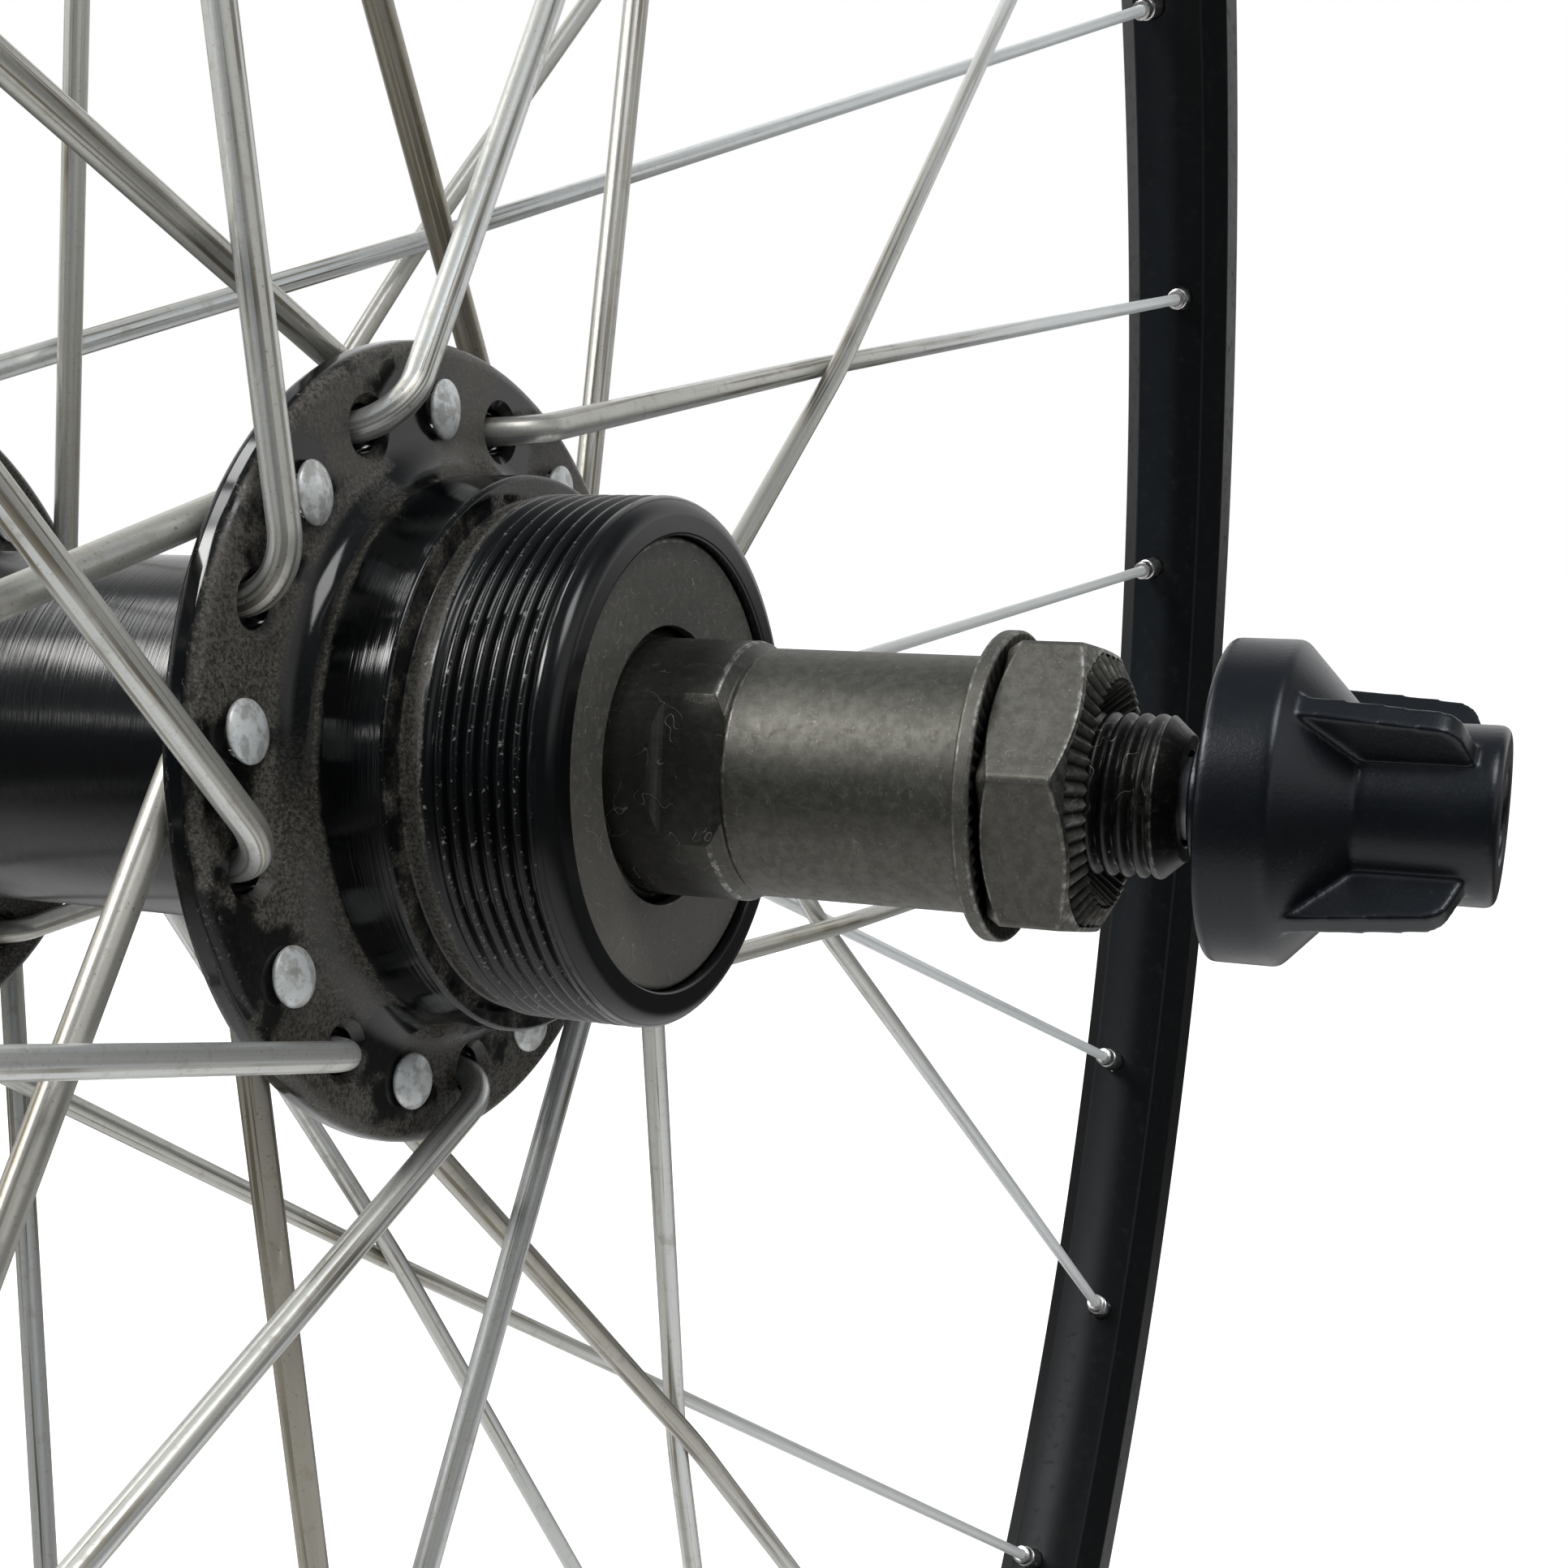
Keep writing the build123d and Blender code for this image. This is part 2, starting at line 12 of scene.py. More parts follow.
import bmesh
import bpy
import numpy as np
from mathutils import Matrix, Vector


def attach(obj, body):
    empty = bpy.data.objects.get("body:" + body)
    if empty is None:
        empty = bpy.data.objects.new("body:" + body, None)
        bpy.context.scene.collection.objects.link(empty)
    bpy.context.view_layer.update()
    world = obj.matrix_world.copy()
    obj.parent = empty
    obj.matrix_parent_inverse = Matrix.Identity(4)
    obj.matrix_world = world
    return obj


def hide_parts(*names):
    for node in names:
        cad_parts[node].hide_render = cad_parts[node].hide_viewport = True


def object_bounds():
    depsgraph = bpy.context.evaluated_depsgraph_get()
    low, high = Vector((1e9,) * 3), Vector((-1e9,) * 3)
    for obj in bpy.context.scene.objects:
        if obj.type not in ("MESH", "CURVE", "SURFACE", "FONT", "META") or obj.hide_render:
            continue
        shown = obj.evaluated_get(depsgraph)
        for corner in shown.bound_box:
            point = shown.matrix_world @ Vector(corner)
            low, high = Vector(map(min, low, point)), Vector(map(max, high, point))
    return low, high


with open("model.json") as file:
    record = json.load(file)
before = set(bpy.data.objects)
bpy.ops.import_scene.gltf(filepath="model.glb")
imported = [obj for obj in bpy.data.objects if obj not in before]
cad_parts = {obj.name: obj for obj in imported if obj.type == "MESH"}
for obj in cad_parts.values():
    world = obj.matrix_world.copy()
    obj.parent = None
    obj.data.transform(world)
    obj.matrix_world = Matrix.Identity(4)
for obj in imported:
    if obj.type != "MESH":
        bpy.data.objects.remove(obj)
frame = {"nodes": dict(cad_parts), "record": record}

MM = 0.001
CAD_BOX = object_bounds()
print("solids span", [tuple(round(v, 4) for v in corner) for corner in CAD_BOX])

# %% [markdown]
# ## Camera
#
# The picture was cut from a larger one, so the lens axis doesn't meet it in the middle. Two shifts
# bring the cut back, and a lens of moderate length close to the hub gives its strong perspective.

# %% Camera
IMAGE = 1932
FOCAL_PIXELS = 2444.93
LENS_AXIS = (1062, 1245)
SENSOR, NEAREST = 36, 0.005
EYE = (-0.11714, -0.09640, 0.01982)
AZIMUTH, ELEVATION = radians(-68.62), radians(15.62)

back = Vector((sin(AZIMUTH) * cos(ELEVATION), -cos(AZIMUTH) * cos(ELEVATION), sin(ELEVATION)))
lens = bpy.data.cameras.new("camera")
lens.sensor_width = SENSOR
lens.lens = FOCAL_PIXELS / IMAGE * SENSOR
lens.shift_x = (IMAGE / 2 - LENS_AXIS[0]) / IMAGE
lens.shift_y = (LENS_AXIS[1] - IMAGE / 2) / IMAGE
lens.clip_start = NEAREST
camera = bpy.data.objects.new("camera", lens)
camera.location = EYE
camera.rotation_euler = (-back).to_track_quat("-Z", "Y").to_euler()
bpy.context.scene.collection.objects.link(camera)
bpy.context.scene.camera = camera
bpy.context.scene.view_settings.view_transform = "Standard"
print("lens", round(lens.lens, 2), "mm")

# %% [markdown]
# ## Shader maths
#
# A finish is a recipe of noise, ramps and masks. Wrapping a socket in a small class lets the recipe
# read as ordinary arithmetic, and one method makes every other node.

# %% Shader helper
class Signal:
    """A socket of a finish that takes part in arithmetic."""

    def __init__(self, finish, socket):
        self.finish = finish
        self.socket = socket

    def maths(self, operation, first, second=0.0):
        return self.finish.node("Math", {"operation": operation}, {0: first, 1: second})

    def __add__(self, other):
        return self.maths("ADD", self, other)

    def __sub__(self, other):
        return self.maths("SUBTRACT", self, other)

    def __rsub__(self, other):
        return self.maths("SUBTRACT", other, self)

    def __mul__(self, other):
        return self.maths("MULTIPLY", self, other)

    def __pow__(self, other):
        return self.maths("POWER", self, other)

    def most(self, other):
        return self.maths("MAXIMUM", self, other)

    __radd__ = __add__
    __rmul__ = __mul__


class Recipe:
    """Nodes of one tree, joined by arithmetic."""

    def __init__(self, tree):
        self.tree = tree

    def node(self, kind, settings=None, inputs=None, out=0):
        """A new node with its settings and inputs, as the signal from one of its outputs."""
        made = self.tree.nodes.new("ShaderNode" + kind)
        for key, value in (settings or {}).items():
            setattr(made, key, value)
        for key, value in (inputs or {}).items():
            self.feed(made.inputs[key], value)
        return Signal(self, made.outputs[out])

    def feed(self, socket, value):
        if isinstance(value, Signal):
            self.tree.links.new(value.socket, socket)
        else:
            socket.default_value = value

    def step(self, value, low, high):
        """Soft step from 0 below low to 1 above high."""
        return self.node("MapRange", {"interpolation_type": "SMOOTHSTEP"},
                         {"Value": value, "From Min": low, "From Max": high})

    def band(self, value, low, high, soft):
        """1 between low and high, with soft ends."""
        past = self.step(value, high - soft, high + soft)
        return self.step(value, low - soft, low + soft) * (1.0 - past)

    def mix(self, share, first, second):
        """Colour between first and second."""
        return self.node("Mix", {"data_type": "RGBA"}, {0: share, 6: first, 7: second}, out=2)


class Finish(Recipe):
    """A material, with the places on its piece in millimetres."""

    def __init__(self, name):
        self.material = bpy.data.materials.new(name)
        self.material.use_nodes = True
        super().__init__(self.material.node_tree)
        self.shader = self.tree.nodes["Principled BSDF"]
        metres = self.node("TexCoord", out="Object")
        self.place = self.node("VectorMath", {"operation": "SCALE"}, {"Vector": metres, "Scale": 1 / MM})
        x, y, z = (self.node("SeparateXYZ", {}, {"Vector": self.place}, out=axis) for axis in "XYZ")
        self.forward, self.offset, self.level = x, -1.0 * y, z
        self.radius = (x * x + z * z) ** 0.5

    def noise(self, scale, detail=4.0, roughness=0.55, stretch=(1, 1, 1), shift=0.0):
        """Noise with about `scale` features in a millimetre."""
        spread = self.node("VectorMath", {"operation": "MULTIPLY_ADD"},
                           {0: self.place, 1: stretch, 2: (shift, shift, shift)})
        return self.node("TexNoise", {}, {"Vector": spread, "Scale": scale, "Detail": detail,
                                          "Roughness": roughness})

    def bump(self, height, distance):
        """Normal from a height between 0 and 1, `distance` millimetres deep."""
        return self.node("Bump", {}, {"Height": height, "Distance": distance * MM, "Strength": 1.0})

    def attribute(self, name):
        return self.node("Attribute", {"attribute_name": name}, out="Fac")

    def coat(self, **sockets):
        """Feed the shader's own sockets, Base_Color for Base Color and so on."""
        for name, value in sockets.items():
            self.feed(self.shader.inputs[name.replace("_", " ")], value)
        return self.material


def grey(level, warm=0.0):
    """A grey of that brightness, a little brown where warm is positive and blue where negative."""
    return (level * (1 + warm), level, level * (1 - warm), 1)


print("shader helper ready")

# %% [markdown]
# ## Floor and light
#
# The background is plain white. The floor glows for the camera and, near the wheel, for mirrors, so
# it looks white, yet a shadow still lies on it. The light is that of a room: a window up and behind
# the hub on the left, a weaker one above it, a ceiling lamp on the near side and a low narrow strip.
# The walls at the wheel's two sides are pale. The front is dim, so that black pieces stay black.

# %% Floor and light
FLOOR_LEVEL = CAD_BOX[0][2]
FLOOR_REACH, NEAR_FLOOR, FAR_FLOOR = 6.0, 360.0, 900.0
LAMP_DISTANCE = 1.2

def white_for_eye(finish, plain, near):
    """White to the camera, pale to mirrors where it is near, and plain to all other light."""
    seen, glossy, through = (finish.node("LightPath", out=f"Is {kind} Ray")
                             for kind in ("Camera", "Glossy", "Transmission"))
    glow = finish.node("Emission", {}, {"Color": finish.mix(near, grey(0.95), grey(0.6))})
    pale = finish.node("Emission", {}, {"Color": finish.mix(near, grey(0.08), grey(1.0))})
    lit = finish.node("AddShader", {}, {0: plain, 1: glow})
    mirrored = finish.node("MixShader", {}, {0: glossy.most(through), 1: plain, 2: pale})
    return finish.node("MixShader", {}, {0: seen, 1: mirrored, 2: lit})


def stage_floor():
    mesh = bpy.data.meshes.new("floor")
    corners = [(x * FLOOR_REACH, y * FLOOR_REACH, FLOOR_LEVEL) for x, y in ((-1, -1), (1, -1), (1, 1), (-1, 1))]
    mesh.from_pydata(corners, [], [(0, 1, 2, 3)])
    floor = bpy.data.objects.new("floor", mesh)
    bpy.context.scene.collection.objects.link(floor)
    finish = Finish("floor_white")
    tone = finish.mix(finish.noise(0.02), grey(0.8), grey(0.84))
    finish.coat(Base_Color=tone, Roughness=0.9)
    finish.shader.inputs["Specular IOR Level"].default_value = 0.0
    plain = Signal(finish, finish.shader.outputs[0])
    spread = finish.node("VectorMath", {"operation": "LENGTH"}, {"Vector": finish.place}, out="Value")
    result = white_for_eye(finish, plain, 1.0 - finish.step(spread, NEAR_FLOOR, FAR_FLOOR))
    finish.feed(finish.tree.nodes["Material Output"].inputs["Surface"], result)
    mesh.materials.append(finish.material)


def room_light(dim, top, backdrop, sides):
    """World that is white to the camera, and to mirrors where it lies behind the wheel."""
    world = bpy.data.worlds.new("room")
    world.use_nodes = True
    bpy.context.scene.world = world
    room = Recipe(world.node_tree)
    way = room.node("TexCoord", out="Generated")
    across, upward = (room.node("SeparateXYZ", {}, {0: way}, out=axis) for axis in "YZ")
    ahead = room.node("VectorMath", {"operation": "DOT_PRODUCT"}, {0: way, 1: -back}, out="Value")
    behind = room.step(ahead, 0.2, 0.6)
    walls = room.mix(room.step(upward, 0.2, 0.95), grey(dim, -0.2), grey(top, -0.1))
    beside = room.step(across * across, 0.4, 0.8) * room.step(upward, 0.0, 0.25)
    walls = room.mix(beside, walls, grey(sides))
    walls = room.mix(behind, walls, grey(backdrop))
    rays = room.node("LightPath", out="Is Camera Ray")
    for kind in ("Is Glossy Ray", "Is Transmission Ray"):
        rays = rays.most(room.node("LightPath", out=kind) * behind)
    lit, white = (room.node("Background", {}, {"Color": colour}) for colour in (walls, (1, 1, 1, 1)))
    result = room.node("MixShader", {}, {0: rays, 1: lit, 2: white})
    room.feed(room.tree.nodes["World Output"].inputs["Surface"], result)


def lamp(name, direction, size, power, tint=(1, 1, 1)):
    """Area lamp in a direction from the hub, facing it."""
    light = bpy.data.lights.new(name, "AREA")
    light.shape = "RECTANGLE"
    light.size, light.size_y = size
    light.energy = power
    light.color = tint
    holder = bpy.data.objects.new(name, light)
    aim = Vector(direction).normalized()
    holder.location = aim * LAMP_DISTANCE
    holder.rotation_euler = aim.to_track_quat("Z", "Y").to_euler()
    bpy.context.scene.collection.objects.link(holder)


stage_floor()
room_light(dim=0.06, top=0.26, backdrop=0.5, sides=0.9)
lamp("window", (-0.52, 0.52, 0.68), size=(0.55, 0.30), power=10.0, tint=(1.0, 0.99, 0.97))
lamp("skylight", (-0.09, 0.57, 0.82), size=(0.5, 0.25), power=3.0)
lamp("ceiling", (-0.25, -0.50, 0.83), size=(0.5, 0.5), power=6.0)
lamp("strip", (-0.78, 0.58, 0.23), size=(0.3, 0.03), power=0.3)
print("floor at", round(FLOOR_LEVEL, 4))

# %% [markdown]
# ## Turning
#
# Nearly every piece was made on a lathe, so it is made here the same way: a profile of corners, each
# with its rounding, is spun about the axle. A rounded edge catches light as a machined edge does,
# and is where plating wears off, so its points carry the value "edge".

# %% Turning
SUPPORT, FACET = 0.02, 11

class Corner:
    """A corner between two straight stretches, rounded with a radius."""

    def __init__(self, before, here, after, radius):
        self.here, self.radius = here, radius
        self.inward, self.outward = (before - here).normalized(), (after - here).normalized()
        half = self.inward.angle(self.outward) / 2
        self.turn = degrees(pi - 2 * half)
        self.reach = radius / tan(half)
        self.centre = here + (self.inward + self.outward).normalized() * radius / sin(half)

    def arc(self, facet=FACET, least=3):
        """Points of the rounding, about one in every `facet` degrees."""
        first, last = (self.here + way * self.reach - self.centre for way in (self.inward, self.outward))
        count = max(least, round(self.turn / facet))
        return [self.centre + first.slerp(last, k / count) * self.radius for k in range(count + 1)]


def rounded(corners):
    """Closed profile (radius, offset, edge) from corners (radius, offset, rounding)."""
    flat = [Vector(corner[:2]) for corner in corners]
    area = sum(a.cross(b) for a, b in zip(flat, flat[1:] + flat[:1]))
    points = []
    for i, (radius, offset, rounding) in enumerate(corners):
        if not rounding:
            points.append((radius, offset, 0.0))
            continue
        corner = Corner(flat[i - 1], flat[i], flat[(i + 1) % len(flat)], rounding)
        edge = 1.0 if -corner.inward.cross(corner.outward) * area > 0 else 0.0
        first, last = (flat[i] + way * (corner.reach + SUPPORT) for way in (corner.inward, corner.outward))
        points += [(*first, 0.0), *((*place, edge) for place in corner.arc()), (*last, 0.0)]
    return points


def mesh_piece(name, vertices, faces, **values):
    """Smooth mesh object in metres from millimetre vertices, with named values at its points."""
    mesh = bpy.data.meshes.new(name)
    mesh.from_pydata((np.asarray(vertices) * MM).tolist(), [], [tuple(face) for face in faces])
    for key, value in values.items():
        column = mesh.attributes.new(key, "FLOAT", "POINT")
        column.data.foreach_set("value", np.asarray(value, float).ravel())
    shell = bmesh.new()
    shell.from_mesh(mesh)
    bmesh.ops.remove_doubles(shell, verts=shell.verts, dist=1e-7)
    bmesh.ops.recalc_face_normals(shell, faces=shell.faces)
    shell.to_mesh(mesh)
    shell.free()
    piece = bpy.data.objects.new(name, mesh)
    bpy.context.scene.collection.objects.link(piece)
    smooth(piece)
    return piece


def smooth(piece, angle=38.0):
    """Smooth shading, with a crease where faces meet at more than an angle."""
    piece.data.shade_smooth()
    piece.data.set_sharp_from_angle(angle=radians(angle))


def ring_faces(turns, count):
    """Quads between closed rows of points, row after row, and back to the first row."""
    row, place = np.meshgrid(np.arange(turns), np.arange(count), indexing="ij")
    after, beside = (row + 1) % turns, (place + 1) % count
    quads = [row * count + place, row * count + beside, after * count + beside, after * count + place]
    return np.stack(quads, axis=-1).reshape(-1, 4)


def spin(name, profile, turns=192, shape=None):
    """Piece turned about the axle; shape may change radius and offset round the turn."""
    radius, offset, edge = np.array(profile).T
    angle = np.linspace(0, 2 * pi, turns, endpoint=False)[:, None]
    radius, offset = (np.broadcast_to(row, (turns, len(row))) for row in (radius, offset))
    if shape:
        radius, offset = shape(radius, offset, angle)
    points = np.stack([radius * np.cos(angle), -offset + 0 * angle, radius * np.sin(angle)], axis=-1)
    faces = ring_faces(turns, len(profile))
    return mesh_piece(name, points.reshape(-1, 3), faces, edge=np.tile(edge, turns))


def over(profile):
    """The same profile on the other side of the wheel."""
    return [(radius, -offset, *rest) for radius, offset, *rest in profile]


def combine(piece, other, operation):
    """Join or subtract another mesh by a modifier."""
    tool = piece.modifiers.new("combine", "BOOLEAN")
    tool.operation, tool.solver, tool.object = operation, "MANIFOLD", other


def settle(piece):
    """Apply a piece's modifiers for good."""
    bpy.context.view_layer.update()
    result = bpy.data.meshes.new_from_object(piece.evaluated_get(bpy.context.evaluated_depsgraph_get()))
    piece.modifiers.clear()
    old, piece.data = piece.data, result
    bpy.data.meshes.remove(old)


def cut(piece, cutter):
    """Take one mesh away from another for good."""
    combine(piece, cutter, "DIFFERENCE")
    settle(piece)
    bpy.data.objects.remove(cutter)
    smooth(piece)


def paint(piece, finish):
    piece.data.materials.clear()
    piece.data.materials.append(finish)


def dress(piece, body, finish, node):
    """Put a finish on a piece, tie it to its body and hide the solid it stands for."""
    paint(piece, finish)
    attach(piece, body)
    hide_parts(node)
    print(f"{piece.name}: {len(piece.data.polygons)} faces")


print("lathe ready")

# %% [markdown]
# ## Places round the axle
#
# An offset is a distance from the rim's middle plane, positive towards the drive side. An angle is
# counted from forward to up. All sizes are millimetres, the same as the solids'. Spokes, nipples and
# their holes come in four sets of nine, 40 degrees apart: two sets on either side.

# %% Places
SIDES = {1: "drive", -1: "nondrive"}
SET_COUNT, SET_STEP = 9, 40
RIM_RADIUS = 317.0

def at(radius, angle, offset):
    return Vector((radius * cos(radians(angle)), -offset, radius * sin(radians(angle))))


def turned_round(points, angle):
    """Points turned about the axle by an angle."""
    c, s = cos(radians(angle)), sin(radians(angle))
    x, y, z = np.asarray(points).T
    return np.stack([x * c - z * s, y, x * s + z * c], axis=-1)


class Bundle:
    """Vertices and faces of many like shapes, gathered into one mesh."""

    def __init__(self):
        self.vertices, self.faces, self.values = [], [], {}
        self.count = 0

    def add(self, vertices, faces, **values):
        self.vertices.append(np.asarray(vertices))
        self.faces += [tuple(index + self.count for index in face) for face in faces]
        for key, value in values.items():
            self.values.setdefault(key, []).append(np.broadcast_to(value, len(vertices)))
        self.count += len(vertices)

    def add_set(self, vertices, faces):
        """The shape in its nine places round the axle."""
        for k in range(SET_COUNT):
            self.add(turned_round(vertices, SET_STEP * k), faces)

    def piece(self, name):
        values = {key: np.concatenate(value) for key, value in self.values.items()}
        return mesh_piece(name, np.concatenate(self.vertices), self.faces, **values)


def lathe_points(profile, origin, axis, turns):
    """Points and faces of an open profile (radius, height) spun about a line in space."""
    axis = Vector(axis).normalized()
    side = axis.orthogonal().normalized()
    other = axis.cross(side)
    points = []
    for k in range(turns):
        turn = 2 * pi * k / turns
        outward = side * cos(turn) + other * sin(turn)
        points += [tuple(origin + outward * radius + axis * height) for radius, height in profile]
    count = len(profile)
    faces = [face for face in ring_faces(turns, count).tolist() if face[0] % count != count - 1]
    return points, faces


def prism(outline, half_width, side=1):
    """Points and faces of an outline (radius, offset) with a thickness across the axle."""
    points = [(r, -side * s, width) for width in (-half_width, half_width) for r, s in outline]
    count = len(outline)
    walls = [(k, (k + 1) % count, count + (k + 1) % count, count + k) for k in range(count)]
    return points, walls + [range(count), range(count, 2 * count)]


print("top of the rim", at(RIM_RADIUS, 90, 0))

# %% [markdown]
# ## Spokes
#
# A spoke is drawn wire, headed at one end and bent just under the head. It leaves its flange, passes
# its partner at the outer crossing, where the two press on each other and bend a little, and runs to
# a nipple in the rim. Inbound spokes have their heads on the outside of the flange.

# %% Spoke finish
def tinted(level, red, blue):
    """A grey of that brightness with its red and blue changed."""
    return (level * red, level, level * blue, 1)


def zinc_finish(name, level):
    """Zinc on drawn wire: dark lengthwise streaks that are drawing marks and painted reflection lines too,
    stains and pits near the hub, a white bloom towards the rim.
    """
    finish = Finish(name)
    edge, tint, along, dull, head = (finish.attribute(key)
                                     for key in ("edge", "tint", "along", "dull", "head"))
    streak, apart = 0.008, 40.0
    wire = finish.node("CombineXYZ", {}, {"X": finish.attribute("turn_x"), "Y": finish.attribute("turn_y"),
                                          "Z": streak * along + apart * tint})
    broad_streak_and_reflection, thin_streak_and_reflection, fine = (finish.node("TexNoise", {}, {"Vector": wire, "Scale": scale, "Detail": 3.0})
                         for scale in (1.0, 2.3, 7.0))
    bloom = finish.step(along, 60.0, 200.0)
    near = 1.0 - bloom
    cloud = finish.noise(0.12, 3.0)
    # band and line are dark streaks fixed round the wire and long along it: drawing marks, and painted
    # reflection lines of a dim room too.
    band = finish.step(broad_streak_and_reflection, 0.45, 0.6) * (0.2 + 0.8 * near)
    patchy = finish.step(finish.noise(0.06, 3.0, shift=3.0), 0.4, 0.6)
    line = finish.step(thin_streak_and_reflection, 0.53, 0.59) * (0.15 + 0.85 * near) * (0.4 + 0.6 * patchy)
    smudge = finish.step(finish.noise(0.9, 4.0, shift=8.0), 0.46, 0.6) * head
    stain = finish.step(finish.noise(0.7, 6.0, 0.65), 0.54, 0.68) * near
    pits = finish.step(finish.noise(4.5, 3.0, 0.6), 0.62, 0.72)
    tone = finish.mix(cloud, tinted(level, 0.97, 0.98), tinted(level * 0.92, 0.95, 1.02))
    tone = finish.mix(dull * (0.35 + 0.65 * near) * 0.8, tone, tinted(0.28 * level, 1.14, 0.72))
    # Painted reflection lines: the broad band and the thin line darken the wire's colour along its length.
    tone = finish.mix(band * 0.4, tone, tinted(0.4 * level, 1.08, 0.8))
    tone = finish.mix(line * 0.85, tone, tinted(0.13 * level, 1.25, 0.6))
    tone = finish.mix(smudge * 0.55, tone, tinted(0.3 * level, 1.05, 0.9))
    tone = finish.mix(stain * 0.3, tone, tinted(0.3 * level, 1.15, 0.7))
    tone = finish.mix(pits * (0.15 + 0.6 * edge), tone, tinted(0.06, 1.1, 0.8))
    rough = 0.26 + 0.12 * cloud + 0.1 * stain + 0.1 * band + 0.12 * bloom
    height = finish.noise(2.2, 5.0, 0.6) + 0.5 * fine
    return finish.coat(Base_Color=tone, Metallic=0.62 - 0.4 * bloom, Roughness=rough,
                       Normal=finish.bump(height, 0.008))


ZINC = zinc_finish("spoke_zinc", level=0.86)
print(ZINC.name)

# %% Spokes
SPOKE_RADIUS, SPOKE_CIRCLE, CROSSING, PITCH = 1.0, 22.85, 60.0, 20.0
FLANGE_FACES, FIRST_ANGLES = {1: 20.4, -1: 36.2}, {1: 49.5, -1: 19.5}
FLANGE_THICKNESS, WELL_RADIUS, STAGGER = 2.5, 305.5, 2.1
HEAD_RADIUS, HEAD_GAP, LEAN = 1.95, 0.05, radians(7)
ELBOW_RISE, ELBOW_HUG, ELBOW_RADII = 1.27, 0.2, {True: 3.8, False: 2.4}
BEND_RADIUS, HALF_GAP = 150.0, 1.11
WIRE_SIDES, WIRE_FACET, HEAD_TURNS = 20, 6, 40
DULLEST, DULL_SPREAD, HEAD_BLOOM = {True: 0.1, False: 0.6}, 0.4, 150.0

class Lacing:
    """Head, elbow, crossing and seat of one kind of spoke, which leans in its hole towards its pull."""

    def __init__(self, side, outbound):
        face = FLANGE_FACES[side]
        far = face - FLANGE_THICKNESS
        turn = -1 if outbound else 1
        self.side, self.outbound = side, outbound
        self.first = FIRST_ANGLES[side] + (PITCH if outbound else 0)
        self.foot = at(SPOKE_CIRCLE, self.first, 0)
        self.pull = (at(WELL_RADIUS, self.first + turn * CROSSING, 0) - self.foot).normalized()
        self.seat = at(WELL_RADIUS, self.first + turn * CROSSING, side * STAGGER)
        lift = HEAD_GAP + HEAD_RADIUS * sin(LEAN)
        elbow = face + SPOKE_RADIUS + ELBOW_RISE if outbound else far - SPOKE_RADIUS - ELBOW_HUG
        self.head = self.on_shank(far - lift if outbound else face + lift, (face + far) / 2)
        self.corner = self.on_shank(elbow, (face + far) / 2)
        middle = radians(self.first + turn * (CROSSING - PITCH / 2))
        sideways = Vector((-sin(middle), 0, cos(middle)))
        start, end = self.corner.dot(sideways), self.seat.dot(sideways)
        share = start / (start - end)
        self.cross = self.corner.lerp(self.seat, share)
        elbows = (face + ELBOW_RISE + far - ELBOW_HUG) / 2
        self.cross.y = -side * (elbows + (STAGGER - elbows) * share + turn * HALF_GAP)

    def on_shank(self, level, middle):
        shift = (level - middle) * tan(LEAN) * (1 if self.outbound else -1)
        return self.foot + Vector((0, -self.side * level, 0)) + self.pull * shift

    def path(self):
        """Centre line from head to seat, with its two bends."""
        elbow = Corner(self.head, self.corner, self.cross, ELBOW_RADII[self.outbound])
        crossing = Corner(self.corner, self.cross, self.seat, BEND_RADIUS)
        return [self.head, *elbow.arc(WIRE_FACET, 4), *crossing.arc(WIRE_FACET, 4), self.seat]


def tube(path, radius, sides):
    """Points and faces of a round tube along a path, closed at both ends."""
    forward = (path[1] - path[0]).normalized()
    normal = forward.orthogonal().normalized()
    points = []
    for i, place in enumerate(path):
        ahead = (path[min(i + 1, len(path) - 1)] - path[max(i - 1, 0)]).normalized()
        normal = (normal - ahead * normal.dot(ahead)).normalized()
        other = ahead.cross(normal)
        for k in range(sides):
            turn = 2 * pi * k / sides
            points.append(tuple(place + (normal * cos(turn) + other * sin(turn)) * radius))
    faces = ring_faces(len(path), sides)[:-sides].tolist()
    ends = [list(range(sides)), list(range(len(points) - sides, len(points)))]
    return points, faces + ends


def head_profile():
    """Domed head with a rounded rim, from its top to its underside."""
    radius, rim, dome, soft = HEAD_RADIUS, 0.3, 0.45, 0.14
    ball = (radius ** 2 + dome ** 2) / (2 * dome)
    spread = asin((radius - soft) / ball)
    top = [(ball * sin(spread * k / 8), rim + dome - ball + ball * cos(spread * k / 8)) for k in range(9)]
    side = [(radius - soft * (1 - sin(a)), rim - soft * (1 - cos(a)) + 0.02) for a in (0.7, 1.1, 1.5)]
    return top + side + [(radius, 0.1), (radius - 0.06, 0.0), (SPOKE_RADIUS * 0.9, 0.0)]


LACINGS = {(side, outbound): Lacing(side, outbound) for side in (1, -1) for outbound in (True, False)}
rng = np.random.default_rng(7)

